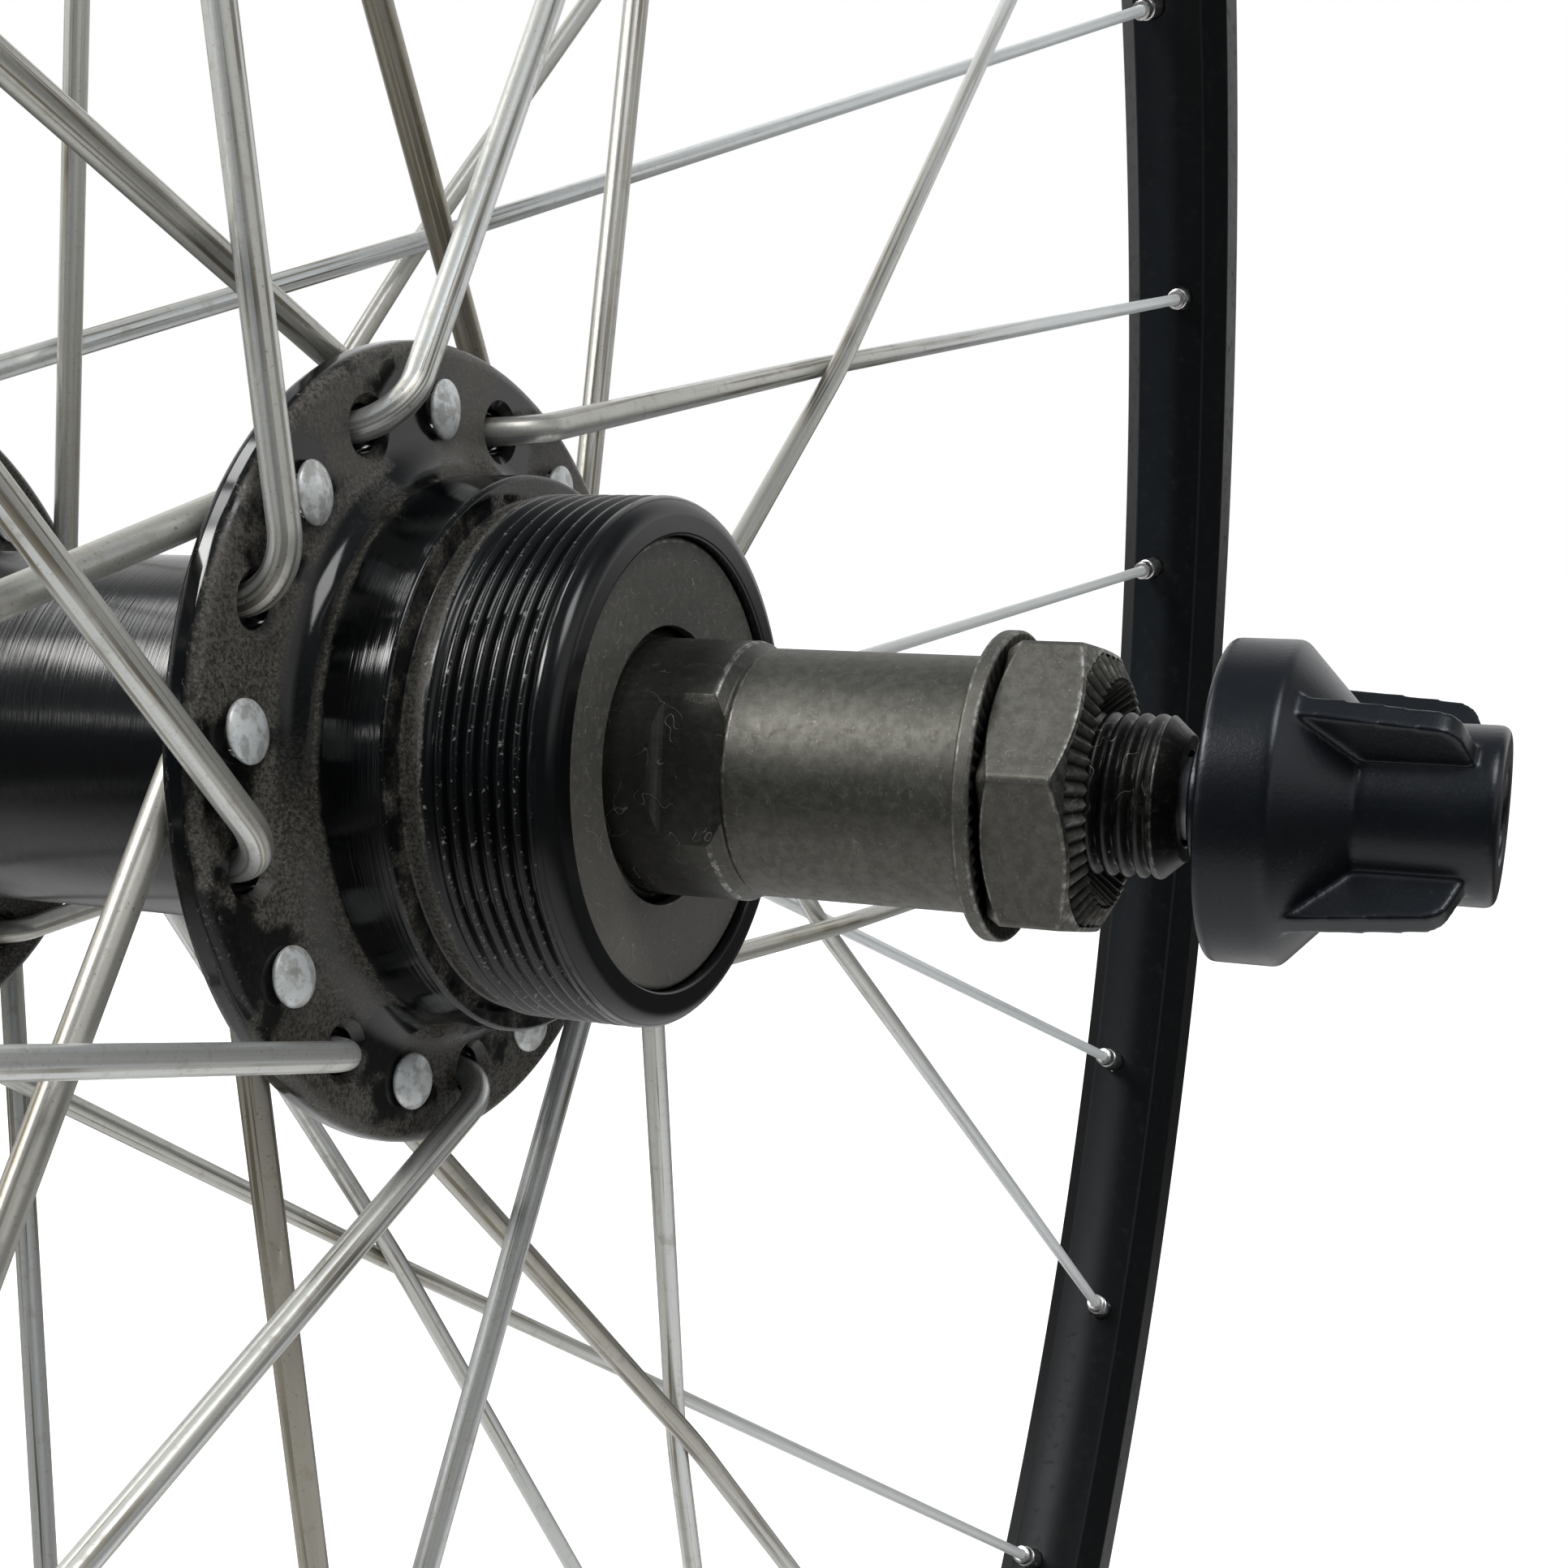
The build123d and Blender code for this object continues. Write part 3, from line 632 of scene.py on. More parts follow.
def spokes(lacing, name, node):
    """Nine wires with their heads, each with its own tint and dullness."""
    route = lacing.path()
    wire, wire_faces = tube(route, SPOKE_RADIUS, WIRE_SIDES)
    axis = (lacing.head - lacing.corner).normalized()
    head, head_faces = lathe_points(head_profile(), lacing.head, axis, HEAD_TURNS)
    reach = np.array([(Vector(point) - lacing.corner).length for point in wire])
    across = np.array([(Vector(point) - lacing.head) / HEAD_RADIUS for point in head])
    turn = np.tile(np.arange(WIRE_SIDES) * 2 * pi / WIRE_SIDES, len(route))
    bend, brim = np.clip(1.6 - reach / 4.0, 0, 1), np.linalg.norm(across, axis=1) ** 4
    bundle = Bundle()
    for k in range(SET_COUNT):
        tint = rng.random()
        dull = DULLEST[lacing.outbound] + DULL_SPREAD * rng.random()
        bundle.add(turned_round(wire, SET_STEP * k), wire_faces, edge=bend, tint=tint, along=reach,
                   dull=dull, head=0.0, turn_x=np.cos(turn), turn_y=np.sin(turn))
        bundle.add(turned_round(head, SET_STEP * k), head_faces, edge=brim, tint=tint, along=HEAD_BLOOM,
                   dull=0.0, head=1.0, turn_x=across[:, 0], turn_y=across[:, 2])
    dress(bundle.piece(name), "wheel", ZINC, node)


for (side, outbound), lacing in LACINGS.items():
    kind = SIDES[side] + ("_outbound_spokes" if outbound else "_inbound_spokes")
    spokes(lacing, kind + "_wire", kind)

# %% [markdown]
# ## Nipples
#
# A nipple is a small brass nut. Its round head seats in the rim's well, its shank comes through the
# bed, and its tip is narrower. It stands in line with its spoke.

# %% Nipples
def nickel_finish():
    finish = Finish("nipple_nickel")
    cloud, dirt = finish.noise(0.5, 3.0), finish.step(finish.noise(1.8, 5.0), 0.5, 0.7)
    tone = finish.mix(cloud, grey(0.52, 0.03), grey(0.62, 0.0))
    tone = finish.mix(dirt * 0.6, tone, grey(0.14, 0.1))
    return finish.coat(Base_Color=tone, Metallic=1.0, Roughness=0.28 + 0.3 * dirt,
                       Normal=finish.bump(finish.noise(3.0), 0.01))


NICKEL = nickel_finish()
NIPPLE = [(1.06, 9.2), (1.6, 9.2), (1.72, 9.14), (1.75, 9.0), (1.75, 6.85), (1.97, 6.75), (2.0, 6.6),
          (2.0, -0.5), (2.9, -0.5), (3.0, -0.6), (3.0, -1.4), (2.1, -2.74), (1.9, -2.8), (1.06, -2.8)]
NIPPLE_TURNS = 24

for side, name in SIDES.items():
    bundle = Bundle()
    for outbound in (True, False):
        lacing = LACINGS[side, outbound]
        bundle.add_set(*lathe_points(NIPPLE, lacing.seat, lacing.cross - lacing.seat, NIPPLE_TURNS))
    dress(bundle.piece(name + "_nipples_brass"), "wheel", NICKEL, name + "_nipples")

# %% [markdown]
# ## Rim
#
# A single-wall rim is rolled from one extruded strip and anodised black. Its bed is a little
# rounded, and its lips and corners are soft. Every nipple has its own drilled hole.

# %% Rim
def rim_finish():
    finish = Finish("rim_black")
    cloud, fine = finish.noise(0.08, 4.0), finish.noise(3.0, 3.0, 0.6)
    dust = finish.step(finish.noise(0.5, 6.0, 0.7), 0.52, 0.75)
    edge = finish.attribute("edge")
    # The sidewalls and the drive-side half of the bed are painted darker than the bed's other half, which faces
    # the light: painted shade.
    painted_shade = finish.step(finish.radius, 304.2, 305.2).most(finish.step(finish.offset, -1.0, 2.5))
    tone = finish.mix(cloud, grey(0.006, -0.25), grey(0.009, -0.25))
    tone = finish.mix(painted_shade, tone, grey(0.002, -0.25))
    tone = finish.mix(dust * 0.06 + edge * 0.12, tone, grey(0.06, 0.0))
    return finish.coat(Specular_IOR_Level=0.14, Base_Color=tone, Roughness=0.36 + 0.2 * dust + 0.08 * cloud,
                       Normal=finish.bump(fine, 0.008))


RIM_HALF = [(303.2, 0.0, 0), (303.35, 2.5, 0), (303.78, 4.9, 0), (304.2, 6.5, 0.7), (309.8, 10.15, 0.9),
            (RIM_RADIUS, 10.7, 0.45), (RIM_RADIUS, 9.3, 0.45), (311.0, 9.3, 0.3), (311.0, 7.5, 0.4),
            (WELL_RADIUS, 5.6, 0.5), (WELL_RADIUS, 0.0, 0)]
RIM_TURNS = 432
NIPPLE_HOLE, VALVE_HOLE, DRILL_REACH = 2.25, 4.25, 9.0

def drill(radius, origin, axis, turns):
    """Points and faces of a round cutter about a place on the rim."""
    outline = [(0, -DRILL_REACH), (radius, -DRILL_REACH), (radius, DRILL_REACH), (0, DRILL_REACH)]
    return lathe_points(outline, origin, axis, turns)


rim = spin("rim_hoop", rounded(RIM_HALF + over(RIM_HALF[-2:0:-1])), RIM_TURNS)
drills = Bundle()
for lacing in LACINGS.values():
    drills.add_set(*drill(NIPPLE_HOLE, lacing.seat, lacing.cross - lacing.seat, 20))
valve = next(m for m in frame["record"]["mounts"] if m["name"] == "valve_hole")
drills.add(*drill(VALVE_HOLE, Vector(valve["pos_m"]) / MM, valve["axis"], 32))
cut(rim, drills.piece("rim_drills"))
dress(rim, "wheel", rim_finish(), "rim")

# %% [markdown]
# ## Hub shell
#
# The shell is turned from one bar: two flanges, a thin barrel between them, a thick polished boss
# behind the freewheel thread, and a mouth for the bearing at each end. The black anodising stays
# glossy where it was polished and gathers brown dust where no cloth reaches, on the flange and in
# the roots.

# %% Hub finish
THREAD_RADIUS, THREAD_PITCH, THREAD_DEPTH = 17.4, 1.058, 0.52
THREAD_START, THREAD_END = 29.0, 36.6

def hub_finish():
    finish = Finish("hub_black")
    s, r, edge = finish.offset, finish.radius, finish.attribute("edge")
    cloud = finish.noise(0.14, 3.0, 0.6)
    wander = s + 0.9 * (finish.noise(0.45, 4.0) - 0.5)
    face = finish.band(wander, 19.9, 22.7, 0.25).most(finish.band(wander, -40.0, -35.6, 0.3))
    land = finish.band(wander, 27.35, 29.1, 0.15)
    inside = finish.band(s, -34.2, 18.3, 0.2) * finish.step(r, 14.2, 16.5)
    root = finish.band(s, 20.65, 22.4, 0.2) * finish.band(r, 18.6, 20.5, 0.2)
    patches = finish.step(cloud, 0.42, 0.51)
    speck = finish.step(finish.noise(4.0, 6.0, 0.8), 0.4, 0.68)
    hand = finish.step(finish.level, -4.0, 6.0) * (1.0 - finish.step(finish.forward, -12.0, -5.0))
    wiped = root * (0.3 + 0.65 * hand)
    dust = face * (0.08 + 0.92 * patches) * (1.0 - wiped) + land * 0.9 + inside * 0.5
    dust = dust * (0.2 + 0.8 * speck)
    grit = finish.step(finish.noise(7.0, 2.0, 0.6), 0.64, 0.73)
    lathe = finish.noise(1.0, 3.0, 0.7, (0.02, 4.0, 0.02))
    barrel = finish.band(s, -33.0, 17.2, 0.4) * (1.0 - finish.step(r, 13.3, 14.6))
    boss = finish.band(s, 22.9, 27.1, 0.2) * (1.0 - finish.step(r, 18.7, 19.0))
    tone = finish.mix(cloud, grey(0.002, -0.2), grey(0.0035, -0.15))
    tone = finish.mix(dust, tone, tinted(0.14, 1.09, 0.82))
    tone = finish.mix(dust * grit * 0.8, tone, tinted(0.38, 1.04, 0.92))
    thread = finish.band(s, THREAD_START, THREAD_END, 0.1)
    scuff = finish.step(finish.noise(2.4, 4.0, 0.7, shift=31.0), 0.57, 0.7)
    worn = scuff * (1.0 - finish.step(s, 36.4, 36.8))
    # Rounded edges, and most of all the thread crests, are painted a bright grey: worn anodising, and on the
    # crests painted highlights too.
    tone = finish.mix((edge * worn * 0.25).most(thread * edge * worn * 0.8), tone, grey(0.33, 0.02))
    nose = finish.step(s, 36.6, 37.0)
    rough = 0.10 + 0.5 * dust + barrel * (0.04 + 0.08 * lathe)
    rough = rough + thread * 0.12 + nose * (0.08 + 0.08 * cloud)
    height = lathe * (barrel * 1.2 + boss * 1.2) + dust * finish.noise(4.0, 5.0, 0.7)
    return finish.coat(Specular_IOR_Level=0.36, Base_Color=tone, Roughness=rough,
                       Normal=finish.bump(height, 0.02))


HUB_BLACK = hub_finish()
print(HUB_BLACK.name)

# %% Hub shell
THREAD_ROWS, THREAD_RUNOUT, THREAD_FLOOR = (36.65, 29.05), 0.4, 17.2
ROWS_A_TURN = 12
HUB_ENDS, LEDGES = {1: 37.9, -1: -43.55}, {1: 27.545, -1: -33.195}
LEDGE_RADIUS, MOUTH_RADIUS, BARREL_RADIUS, FLANGE_RADIUS = 11.0, 14.9, 13.0, 27.1
NECK_RADIUS, NECK_END, BOSS_RADIUS, PLAIN_BOSS = 16.9, 27.3, 18.6, 17.0
ROOT, FLANGE_EDGE, HUB_TURNS = 2.4, 0.9, 288
HOLE_RADIUS, FLARE_RADIUS, FLARE_DEPTH, HOLE_SHIFT, HOLE_TURNS = 1.55, 3.15, 0.6, 0.12, 40

def groove(phase):
    """Depth across one thread: a rounded crest about half the pitch wide and a narrow root."""
    wave = 0.5 - 0.5 * np.cos(2 * pi * phase)
    return wave ** 1.6


def threaded(pitch, depth, start, end, low):
    """Cut a helical thread into the points outside a radius between two offsets."""
    def shape(radius, offset, angle):
        run = np.clip((offset - start) / pitch, 0, 1) * np.clip((end - offset) / pitch, 0, 1)
        return radius - (radius > low) * depth * run * groove(offset / pitch + angle / (2 * pi)), offset
    return shape


def thread_profile(radius, start, end, pitch):
    """Profile points along a thread, with its crests marked as edges."""
    count = round(abs(end - start) / pitch * ROWS_A_TURN)
    crest = (0, 1, ROWS_A_TURN - 1)
    return [(radius, start + (end - start) * k / count, 1.0 if k % ROWS_A_TURN in crest else 0.0)
            for k in range(count + 1)]


def hub_profile():
    """Outline from the drive side's mouth over thread, boss, flanges and barrel to the other mouth."""
    face, far_face = FLANGE_FACES[1], -FLANGE_FACES[-1]
    back, far_back = face - FLANGE_THICKNESS, far_face + FLANGE_THICKNESS
    mouth = rounded([(LEDGE_RADIUS, LEDGES[1], 0.2), (MOUTH_RADIUS, LEDGES[1], 0),
                     (MOUTH_RADIUS, HUB_ENDS[1], 0.2), (THREAD_RADIUS, HUB_ENDS[1], 1.2),
                     (THREAD_RADIUS, THREAD_START, 0)])
    body = rounded([(THREAD_RADIUS, THREAD_START, 0.1), (NECK_RADIUS, THREAD_START, 0.15),
                    (NECK_RADIUS, NECK_END, 0.2), (BOSS_RADIUS, NECK_END, 0.3), (BOSS_RADIUS, face, ROOT),
                    (FLANGE_RADIUS, face, FLANGE_EDGE), (FLANGE_RADIUS, back, FLANGE_EDGE),
                    (BARREL_RADIUS, back, ROOT), (BARREL_RADIUS, far_back, ROOT),
                    (FLANGE_RADIUS, far_back, FLANGE_EDGE), (FLANGE_RADIUS, far_face, FLANGE_EDGE),
                    (PLAIN_BOSS, far_face, ROOT), (PLAIN_BOSS, HUB_ENDS[-1], 0.4),
                    (MOUTH_RADIUS, HUB_ENDS[-1], 0.2), (MOUTH_RADIUS, LEDGES[-1], 0),
                    (LEDGE_RADIUS, LEDGES[-1], 0.2)])
    return mouth[:-1] + thread_profile(THREAD_RADIUS, *THREAD_ROWS, THREAD_PITCH) + body


helix = threaded(THREAD_PITCH, THREAD_DEPTH, THREAD_START, THREAD_END + THREAD_RUNOUT, THREAD_FLOOR)
hub = spin("hub_body", hub_profile(), HUB_TURNS, helix)

holes = Bundle()
for (side, outbound), lacing in LACINGS.items():
    face = FLANGE_FACES[side]
    ends = (face, face - FLANGE_THICKNESS)
    mouth, start = ends if outbound else ends[::-1]
    ahead = 1 if mouth > start else -1
    bore = [(0, start - ahead), (HOLE_RADIUS, start - ahead), (HOLE_RADIUS, mouth - FLARE_DEPTH * ahead),
            (FLARE_RADIUS, mouth + ahead), (0, mouth + ahead)]
    middle = lacing.foot - lacing.pull * HOLE_SHIFT
    holes.add_set(*lathe_points(bore, middle, at(0, 0, side), HOLE_TURNS))
cut(hub, holes.piece("flange_drills"))
dress(hub, "wheel", HUB_BLACK, "hub_shell")

# %% [markdown]
# ## Bearings
#
# A pressed cap closes each mouth round its cone. Nine balls run behind it, between the cup pressed
# into the shell and the cone on the axle. The cups and balls can't be seen, so their solids stay and
# only take a finish.

# %% Bearing finishes
def steel_finish(name, dark, light, rough, dust_level, dust_share,
                 metal=1.0, lint=0.0, bare=0.5, painted_light_below=0.0):
    """Steel with a mottled warm tone, fine dust, grooves darkened as grime and painted shade, bright worn
    edges, clinging lint, and where asked a lower part painted lighter in the dust colour as painted light.
    """
    finish = Finish(name)
    edge, dirt = finish.attribute("edge"), finish.attribute("dirt")
    cloud, fine = finish.noise(0.3, 4.0), finish.noise(6.0, 4.0, 0.75)
    mottle = finish.step(finish.noise(1.3, 5.0, 0.65, shift=2.0), 0.35, 0.65)
    dust = finish.step(finish.noise(1.6, 6.0, 0.75, shift=9.0), 0.50, 0.72)
    grit = finish.step(finish.noise(7.0, 2.0, shift=4.0), 0.67, 0.74)
    worn = edge * finish.step(finish.noise(1.3, 4.0, 0.7, shift=17.0), 0.42, 0.68)
    # Painted light: below the axle the colour turns lighter, towards the dust colour, by height alone.
    low = (1.0 - finish.step(finish.level, -14.0, 4.0)) * painted_light_below
    curl = finish.noise(0.55, 1.0, 0.4, shift=23.0) - 0.5
    tuft = finish.step(finish.noise(0.4, 2.0, shift=41.0), 0.52, 0.58)
    fibre = (1.0 - finish.step(curl * curl, 0.0, 0.00002)) * tuft
    blend = cloud * 0.3 + fine * 0.35 + mottle * 0.35
    tone = finish.mix(blend, tinted(dark, 1.03, 0.85), tinted(light, 1.02, 0.89))
    tone = finish.mix((dust * dust_share).most(low), tone, tinted(dust_level, 1.06, 0.9))
    tone = finish.mix(grit * dust_share, tone, tinted(min(2.5 * dust_level, 0.6), 1.05, 0.95))
    tone = finish.mix(worn * 0.75, tone, tinted(bare, 1.02, 0.95))
    # dirt darkens grooves, bores and faces in the gaps between parts: grime, and painted shade too.
    tone = finish.mix(dirt * 0.9, tone, tinted(0.010, 1.0, 0.9))
    tone = finish.mix(fibre * lint, tone, grey(0.42, 0.05))
    rough = rough + 0.22 * dust + 0.12 * fine - 0.1 * worn + 0.3 * dirt
    height = fine * 0.6 + dust * 0.4 + fibre * lint
    return finish.coat(Base_Color=tone, Metallic=(worn * 0.8).most(metal), Roughness=rough,
                       Normal=finish.bump(height, 0.014))


# The cap's lower part is painted lighter: painted light.
CAP_STEEL = steel_finish("cap_steel", dark=0.07, light=0.11, rough=0.46, dust_level=0.2, dust_share=0.7,
                         metal=0.35, lint=0.6, bare=0.3, painted_light_below=0.6)
RACE_STEEL = steel_finish("race_steel", dark=0.20, light=0.28, rough=0.22, dust_level=0.2, dust_share=0.1)
BALL_STEEL = steel_finish("ball_steel", dark=0.62, light=0.70, rough=0.08, dust_level=0.3, dust_share=0.03)
CONE_BLACK = steel_finish("cone_black", dark=0.04, light=0.085, rough=0.33, dust_level=0.1, dust_share=0.35,
                          metal=0.8, lint=0.6, bare=0.3)
print("bearing finishes ready")

# %% Bearings
BALL_OFFSETS = {1: 32.0, -1: 37.65}
AXLE_FIT = 5.05
CAP_HOLE, CAP_RADIUS, CAP_SKIRT = 9.15, 14.85, 14.1
CAP_FACE, CAP_INNER, CAP_DISH, SKIRT_LENGTH = 5.3, 4.5, 0.45, 2.0
BALL_CIRCLE, RACE_RADIUS, RACE_ARC, RACE_END = 10.8, 3.255, 62.5, 2.9
CONE_NOSE, CONE_RADIUS, CONE_NECK, CONE_TIP = 7.545, 9.3, 8.4, 7.7
CONE_START, CONE_END = -2.6, 12.1
FLAT_LEVEL, FLAT_START, FLAT_SOFT, FLAT_ANGLES = 7.0, 9.0, 1.6, (171.0, 351.0)

def on_side(side, profile):
    return profile if side > 0 else over(profile)


def dust_cap(side):
    """Pressed cap, dished a little, with a short skirt in the mouth."""
    face, inner = BALL_OFFSETS[side] + CAP_FACE, BALL_OFFSETS[side] + CAP_INNER
    corners = [(CAP_HOLE, face - CAP_DISH, 0.12), (CAP_RADIUS, face, 0.35),
               (CAP_RADIUS, inner - SKIRT_LENGTH, 0), (CAP_SKIRT, inner - SKIRT_LENGTH, 0),
               (CAP_SKIRT, inner, 0), (CAP_HOLE, inner - CAP_DISH, 0.1)]
    cap = spin(SIDES[side] + "_cap_ring", on_side(side, rounded(corners)))
    dress(cap, "wheel", CAP_STEEL, SIDES[side] + "_dust_cap")


def cone(side):
    """Cone with its race, its shoulder and two milled flats."""
    ball = BALL_OFFSETS[side]
    start, end, shoulder = ball + CONE_START, ball + CONE_END, ball + RACE_END
    race = [(BALL_CIRCLE + RACE_RADIUS * cos(a), ball + RACE_RADIUS * sin(a), 0.0)
            for a in np.linspace(radians(180), radians(180 - RACE_ARC), 12)]
    outer = rounded([(AXLE_FIT, start, 0.2), (CONE_NOSE, start, 0.4), (CONE_RADIUS, shoulder, 0),
                     (CONE_RADIUS, ball + 3.4, 0.2), (CONE_NECK, ball + 4.3, 0.3),
                     (CONE_NECK, ball + 11.3, 0.45), (CONE_TIP, ball + 12.0, 0.3), (CONE_TIP, end, 0),
                     (AXLE_FIT, end, 0.2)])
    split = next(i for i, (r, s, _) in enumerate(outer) if (r, s) == (CONE_RADIUS, shoulder))
    piece = spin(SIDES[side] + "_cone_body", on_side(side, outer[:split] + race + outer[split + 1:]))
    run, past, outside = ball + FLAT_START, ball + 13.0, 11.0
    mill = [(FLAT_LEVEL, past), (FLAT_LEVEL, run)]
    mill += [(FLAT_LEVEL + FLAT_SOFT - FLAT_SOFT * cos(a), run - FLAT_SOFT * sin(a))
             for a in np.linspace(0.2, pi / 2, 7)]
    mill += [(outside, run - FLAT_SOFT), (outside, past)]
    points, faces = prism(mill, 9.0, side)
    bundle = Bundle()
    for turn in FLAT_ANGLES:
        bundle.add(turned_round(points, turn), faces)
    cut(piece, bundle.piece("mill"))
    dress(piece, "axle_set", CONE_BLACK, SIDES[side] + "_cone")


for side, name in SIDES.items():
    dust_cap(side)
    cone(side)
    paint(frame["nodes"][name + "_bearing_cup"], RACE_STEEL)
    paint(frame["nodes"][name + "_balls"], BALL_STEEL)

# %% [markdown]
# ## Spacers, washers and locknuts
#
# A plain tube, a washer and a hexagon nut set the width between the frame's ends. They are dark
# zinc-plated steel, and their edges are rubbed bright. The nut's faces have fine radial teeth that
# bite into the frame.

# %% Spacers and washers
GUNMETAL = steel_finish("gunmetal", dark=0.06, light=0.15, rough=0.42, dust_level=0.16, dust_share=0.4,
                        lint=0.2, bare=0.36)
WASHER_STEEL = steel_finish("washer_steel", dark=0.08, light=0.17, rough=0.5, dust_level=0.2, dust_share=0.5,
                            bare=0.3)
SPACER_RADIUS, SPACER_END, SPACER_TURNS = 7.97, 59.7, 160
WASHER_RADIUS, WASHER_TEETH, WASHER_BITE, WASHER_BAND = 9.6, 60, 0.3, (7.4, 8.9)
NUT_INNER, POINTS_A_TOOTH = 60.8, 8

def spacer(side):
    start = BALL_OFFSETS[side] + CONE_END
    corners = [(AXLE_FIT, start, 0), (SPACER_RADIUS, start, 0.45), (SPACER_RADIUS, SPACER_END, 0.15),
               (AXLE_FIT, SPACER_END, 0)]
    sleeve = spin(SIDES[side] + "_spacer_tube", on_side(side, rounded(corners)), SPACER_TURNS)
    dress(sleeve, "axle_set", GUNMETAL, SIDES[side] + "_spacer")


def lock_washer(side):
    """Washer whose side towards the nut has short dark teeth inside a plain rim."""
    low, high = WASHER_BAND
    corners = [(AXLE_FIT, SPACER_END, 0), (WASHER_RADIUS, SPACER_END, 0.28), (WASHER_RADIUS, NUT_INNER, 0.22),
               (high, NUT_INNER, 0), (low, NUT_INNER, 0), (AXLE_FIT, NUT_INNER, 0)]

    def bitten(radius, offset, angle):
        wave = np.abs((angle * WASHER_TEETH / (2 * pi)) % 1 * 2 - 1)
        band = (radius > low - 0.1) & (radius < high + 0.1) & (np.abs(offset) > NUT_INNER - 0.1)
        return radius, offset - side * WASHER_BITE * wave * band
    turns = POINTS_A_TOOTH * WASHER_TEETH
    ring = spin(SIDES[side] + "_washer_ring", on_side(side, rounded(corners)), turns, bitten)
    dress(ring, "axle_set", WASHER_STEEL, SIDES[side] + "_lock_washer")


for side in SIDES:
    spacer(side)
    lock_washer(side)

# %% Locknuts
NUT_HALF, NUT_FACE, CORNER_ANGLE = 8.5, 67.5, 167.7
FACE_RADIUS, SLOPE, BACK_GAP = 6.4, tan(radians(30)), 0.28
TEETH, TOOTH, BAND_MIDDLE, BAND_INNER = 52, 0.42, 7.6, 7.0
SINK_RADIUS, SINK_DEPTH = 6.8, 2.4

def locknut(side):
    """Hexagon nut: a coned face with a toothed band and a countersunk bore, and a chamfered back
    that stands on a small toothed ring. Each row holds radius, offset, edge and dirt: edge lightens rubbed
    rims and tooth crests, wear that also paints highlights on the crests, and dirt darkens the tooth
    grooves, the bore and the back face by the washer, grime that is also painted shade."""
    turns = TEETH * POINTS_A_TOOTH
    angle = np.linspace(0, 2 * pi, turns, endpoint=False)
    within = (angle - radians(CORNER_ANGLE)) % (pi / 3) - pi / 6
    hexagon = np.minimum(NUT_HALF / np.cos(within), NUT_HALF / cos(pi / 6) - 0.12)
    tooth = np.abs((angle * TEETH / (2 * pi)) % 1 * 2 - 1)
    seat, back = NUT_INNER + 0.02, NUT_INNER + BACK_GAP
    lift = back + np.maximum(hexagon - NUT_HALF, 0) * SLOPE

    def face(radius):
        return NUT_FACE - np.maximum(radius - FACE_RADIUS, 0) * SLOPE
    outer = np.minimum(hexagon - 0.3, 8.6)
    # dirt paints shade on the back face by the washer, in the tooth grooves and in the bore, along with grime;
    # edge on the tooth crests paints them bright, wear with painted highlights.
    rows = [(AXLE_FIT, seat, 0, 0), (5.8, seat, 0, 1), (7.9, seat + 0.3 * tooth, 0, 1), (8.0, back, 0, 1),
            (hexagon - 0.5, back, 0, 0.6), (hexagon - 0.06, lift, 1, 0), (hexagon, lift + 0.08, 1, 0),
            (hexagon, lift + 0.25, 0, 0), (hexagon, face(hexagon) - 0.25, 0, 0),
            (hexagon, face(hexagon) - 0.08, 1, 0), (hexagon - 0.06, face(hexagon - 0.06), 1, 0),
            (outer, face(outer), 1, 0), (outer - 0.15, face(outer - 0.15) - TOOTH * tooth, 1 - tooth, tooth),
            (BAND_MIDDLE, face(BAND_MIDDLE) - 0.85 * TOOTH * tooth, 0.8 - 0.8 * tooth, tooth),
            (BAND_INNER, face(BAND_INNER) - 0.7 * TOOTH * tooth, 0.6 - 0.6 * tooth, tooth),
            (SINK_RADIUS, face(BAND_INNER) - 0.05 - 0.6 * TOOTH * tooth, 0.3 - 0.3 * tooth, tooth),
            (AXLE_FIT, NUT_FACE - SINK_DEPTH, 0, 1)]
    columns = ([np.broadcast_to(row[k], turns) for row in rows] for k in range(4))
    radius, offset, edge, dirt = (np.array(column).T for column in columns)
    turn = angle[:, None]
    points = np.stack([radius * np.cos(turn), -side * offset, radius * np.sin(turn)], axis=-1)
    faces = ring_faces(turns, len(rows))
    nut = mesh_piece(SIDES[side] + "_hexagon", points.reshape(-1, 3), faces, edge=edge, dirt=dirt)
    smooth(nut, 20.0)
    dress(nut, "axle_set", GUNMETAL, SIDES[side] + "_locknut")


for side in SIDES:
    locknut(side)

# %% [markdown]
# ## Axle and skewer rod
#
# The axle is a hollow bar with a fine thread along its length. Only its ends show, black and full of
# lint. A thin zinc-plated rod runs through it.

# %% Axle and rod
# bare paints the axle's thread crests a pale grey: rubbed steel, and painted highlights too.
AXLE_BLACK = steel_finish("axle_black", dark=0.005, light=0.010, rough=0.34, dust_level=0.08, dust_share=0.3,
                          metal=0.4, lint=0.8, bare=0.16)
ROD_ZINC = zinc_finish("rod_zinc", level=0.45)
AXLE_BORE, AXLE_TIP, AXLE_RADIUS, AXLE_PLAIN = 2.85, 3.8, 4.95, 5.0
AXLE_END, TIP_START, AXLE_TURNS = 71.7, 70.4, 128
AXLE_PITCH, AXLE_DEPTH, AXLE_ROWS, AXLE_CUT = 1.0, 0.55, (70.2, 64.6), (64.3, 70.6)

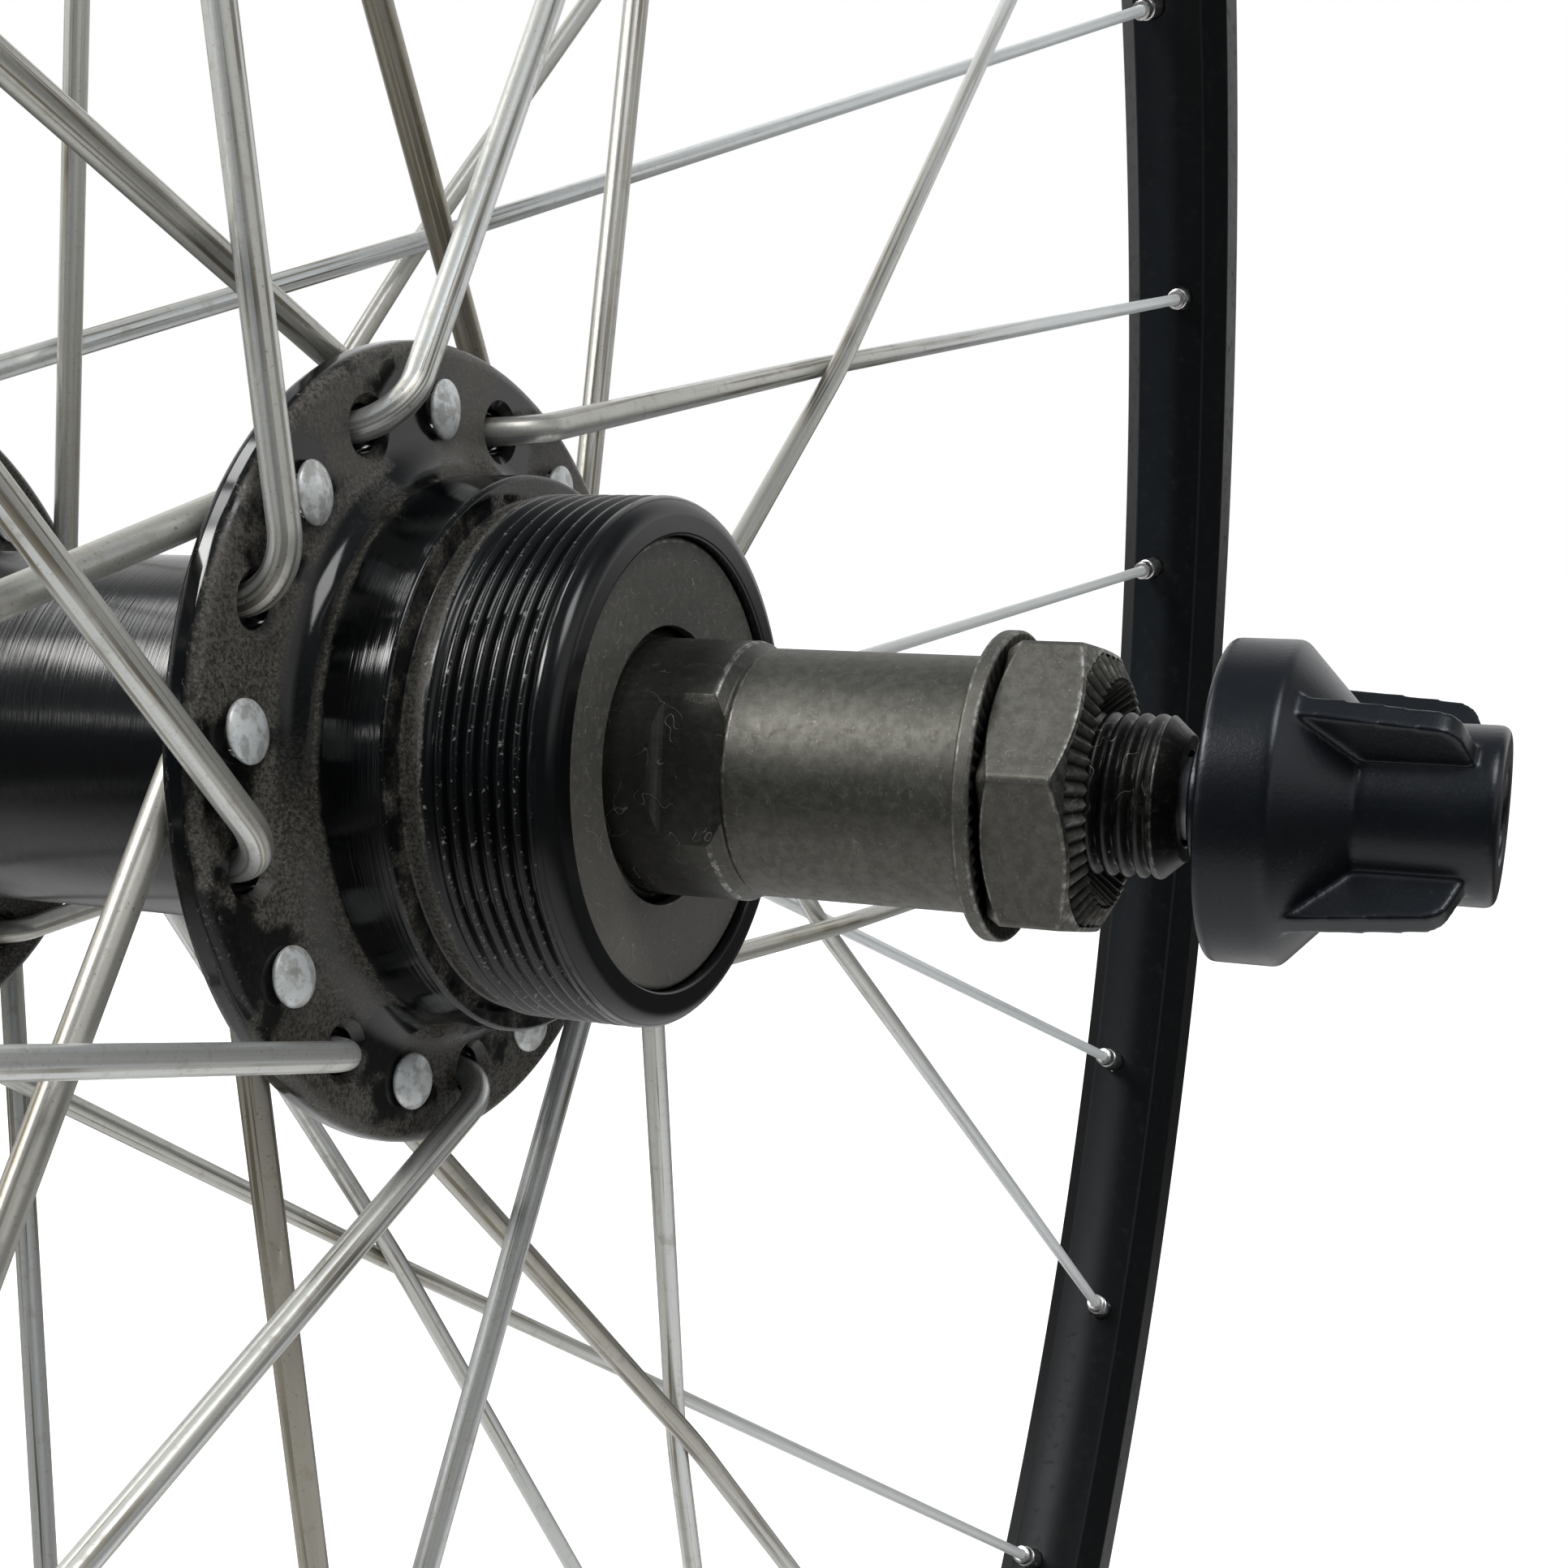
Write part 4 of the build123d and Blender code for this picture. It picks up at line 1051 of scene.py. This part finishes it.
def axle():
    """Bar with a chamfered tip and a cut thread at each end."""
    half = rounded([(AXLE_BORE, AXLE_END, 0.15), (AXLE_TIP, AXLE_END, 0.15), (AXLE_RADIUS, TIP_START, 0.2),
                    (AXLE_RADIUS, AXLE_ROWS[1], 0)])
    ends = half[:-1] + thread_profile(AXLE_RADIUS, *AXLE_ROWS, AXLE_PITCH) + [(AXLE_PLAIN, AXLE_CUT[0], 0.0)]
    helix = threaded(AXLE_PITCH, AXLE_DEPTH, *AXLE_CUT, AXLE_RADIUS - 0.05)

    def both(radius, offset, angle):
        return helix(radius, np.abs(offset), np.sign(offset) * angle)[0], offset
    bar = spin("axle_bar", ends + over(ends[::-1]), AXLE_TURNS, both)
    dress(bar, "axle_set", AXLE_BLACK, "axle")


axle()
for node in ("skewer_rod", "lever_pivot"):
    paint(frame["nodes"][node], ROD_ZINC)

# %% [markdown]
# ## Skewer nut
#
# The nut is moulded: a drum with a conical back, a round core, four grip ribs with slanted ends, and
# a collar that faces the axle. Its parts are joined, then remeshed finely and smoothed, which leaves
# the soft inner corners of a moulding.

# %% Skewer nut
def plastic_finish(name, dark, light, rough, blue):
    """Black moulding with a bluish sheen, a fine grain, a little dust, and edges painted lighter: scuffs, and
    painted highlights too.
    """
    finish = Finish(name)
    edge = finish.step(finish.node("NewGeometry", out="Pointiness"), 0.60, 0.70)
    cloud, grain = finish.noise(0.35, 4.0), finish.noise(4.0, 4.0, 0.65)
    scuff = finish.step(finish.noise(1.1, 5.0, 0.7, shift=5.0), 0.5, 0.7)
    dust = finish.step(finish.noise(2.4, 5.0, 0.75, shift=12.0), 0.58, 0.74)
    shades = (tinted(level, 1.0 - 0.5 * blue, 1.0 + blue) for level in (dark, light))
    tone = finish.mix(cloud, *shades)
    tone = finish.mix(dust * 0.04, tone, grey(0.06, 0.0))
    # Sharp edges painted a lighter grey: scuffs, and painted edge highlights too.
    tone = finish.mix(edge * (0.35 + 0.65 * scuff) * 0.4, tone, grey(0.08, -0.05))
    return finish.coat(Specular_IOR_Level=0.45, Specular_Tint=(0.88, 0.93, 1.0, 1.0), Base_Color=tone,
                       Roughness=rough + 0.12 * cloud + 0.15 * dust, Normal=finish.bump(grain, 0.012))


NUT_BLACK = plastic_finish("nut_black", dark=0.0025, light=0.004, rough=0.25, blue=0.5)
NUT_BORE, NUT_CORE, NUT_DRUM, NUT_CUP, NUT_COLLAR = 2.56, 5.2, 9.6, 7.6, 3.9
COLLAR_START, DRUM_START, CUP_FLOOR, DRUM_END, BACK_END, NUT_END = 72.2, 73.75, 76.95, 77.85, 82.0, 89.75
RIB_COUNT, RIB_ANGLE, RIB_HALF, RIB_CORNER = 4, 41.5, 0.75, 1.6
RIB_FOOT, RIB_BASE, RIB_SHOULDER, RIB_END = 4.2, 8.9, (7.9, 87.2), 88.2
VOXEL, SOFTENING = 0.16, 9

def skewer_nut():
    corners = [(NUT_BORE, NUT_END, 0.2), (NUT_CORE, NUT_END, 0.6), (NUT_CORE, BACK_END, 0.5),
               (NUT_DRUM, DRUM_END, 0.6), (NUT_DRUM, DRUM_START, 0.3), (NUT_CUP, DRUM_START, 0.3),
               (NUT_CUP, CUP_FLOOR, 0.3), (NUT_COLLAR, CUP_FLOOR, 0.2), (NUT_COLLAR, COLLAR_START, 0.2),
               (NUT_BORE, COLLAR_START, 0.1)]
    nut = spin("skewer_nut_moulding", rounded(corners), 160)
    base, tip = (RIB_BASE, DRUM_END), (NUT_CORE, RIB_END)
    shoulder = Corner(Vector(base), Vector(RIB_SHOULDER), Vector(tip), RIB_CORNER)
    bend = [tuple(place) for place in shoulder.arc()]
    points, faces = prism([(RIB_FOOT, DRUM_END), base, *bend, tip, (RIB_FOOT, RIB_END)], RIB_HALF)
    bundle = Bundle()
    for k in range(RIB_COUNT):
        bundle.add(turned_round(points, RIB_ANGLE + 360 / RIB_COUNT * k), faces)
    ribs = bundle.piece("ribs")
    combine(nut, ribs, "UNION")
    fine = nut.modifiers.new("fine", "REMESH")
    fine.mode, fine.voxel_size = "VOXEL", VOXEL * MM
    soft = nut.modifiers.new("soft", "SMOOTH")
    soft.factor, soft.iterations = 0.5, SOFTENING
    settle(nut)
    bpy.data.objects.remove(ribs)
    nut.data.shade_smooth()
    dress(nut, "quick_release_nut", NUT_BLACK, "skewer_nut")


skewer_nut()

# %% [markdown]
# ## Lever
#
# The other end of the skewer has a plain cam lever on a seat. Their solids stay, take a finish and
# have their sharp edges rounded a little.

# %% Lever
LEVER_BLACK = plastic_finish("lever_black", dark=0.005, light=0.008, rough=0.3, blue=0.2)

def soften(solid, width):
    """Round the sharp edges of a solid's mesh, in millimetres."""
    weld = solid.modifiers.new("weld", "WELD")
    weld.merge_threshold = 1e-6
    join = solid.modifiers.new("join", "DECIMATE")
    join.decimate_type, join.angle_limit = "DISSOLVE", radians(0.5)
    bevel = solid.modifiers.new("bevel", "BEVEL")
    bevel.width, bevel.segments, bevel.use_clamp_overlap = width * MM, 3, False
    bevel.limit_method, bevel.angle_limit = "ANGLE", radians(40)
    solid.modifiers.new("shade", "WEIGHTED_NORMAL")


for node, finish, width in (("lever_seat", NUT_BLACK, 0.4), ("skewer_lever", LEVER_BLACK, 0.3)):
    paint(frame["nodes"][node], finish)
    soften(frame["nodes"][node], width)
    print(node, "edges rounded by", width)
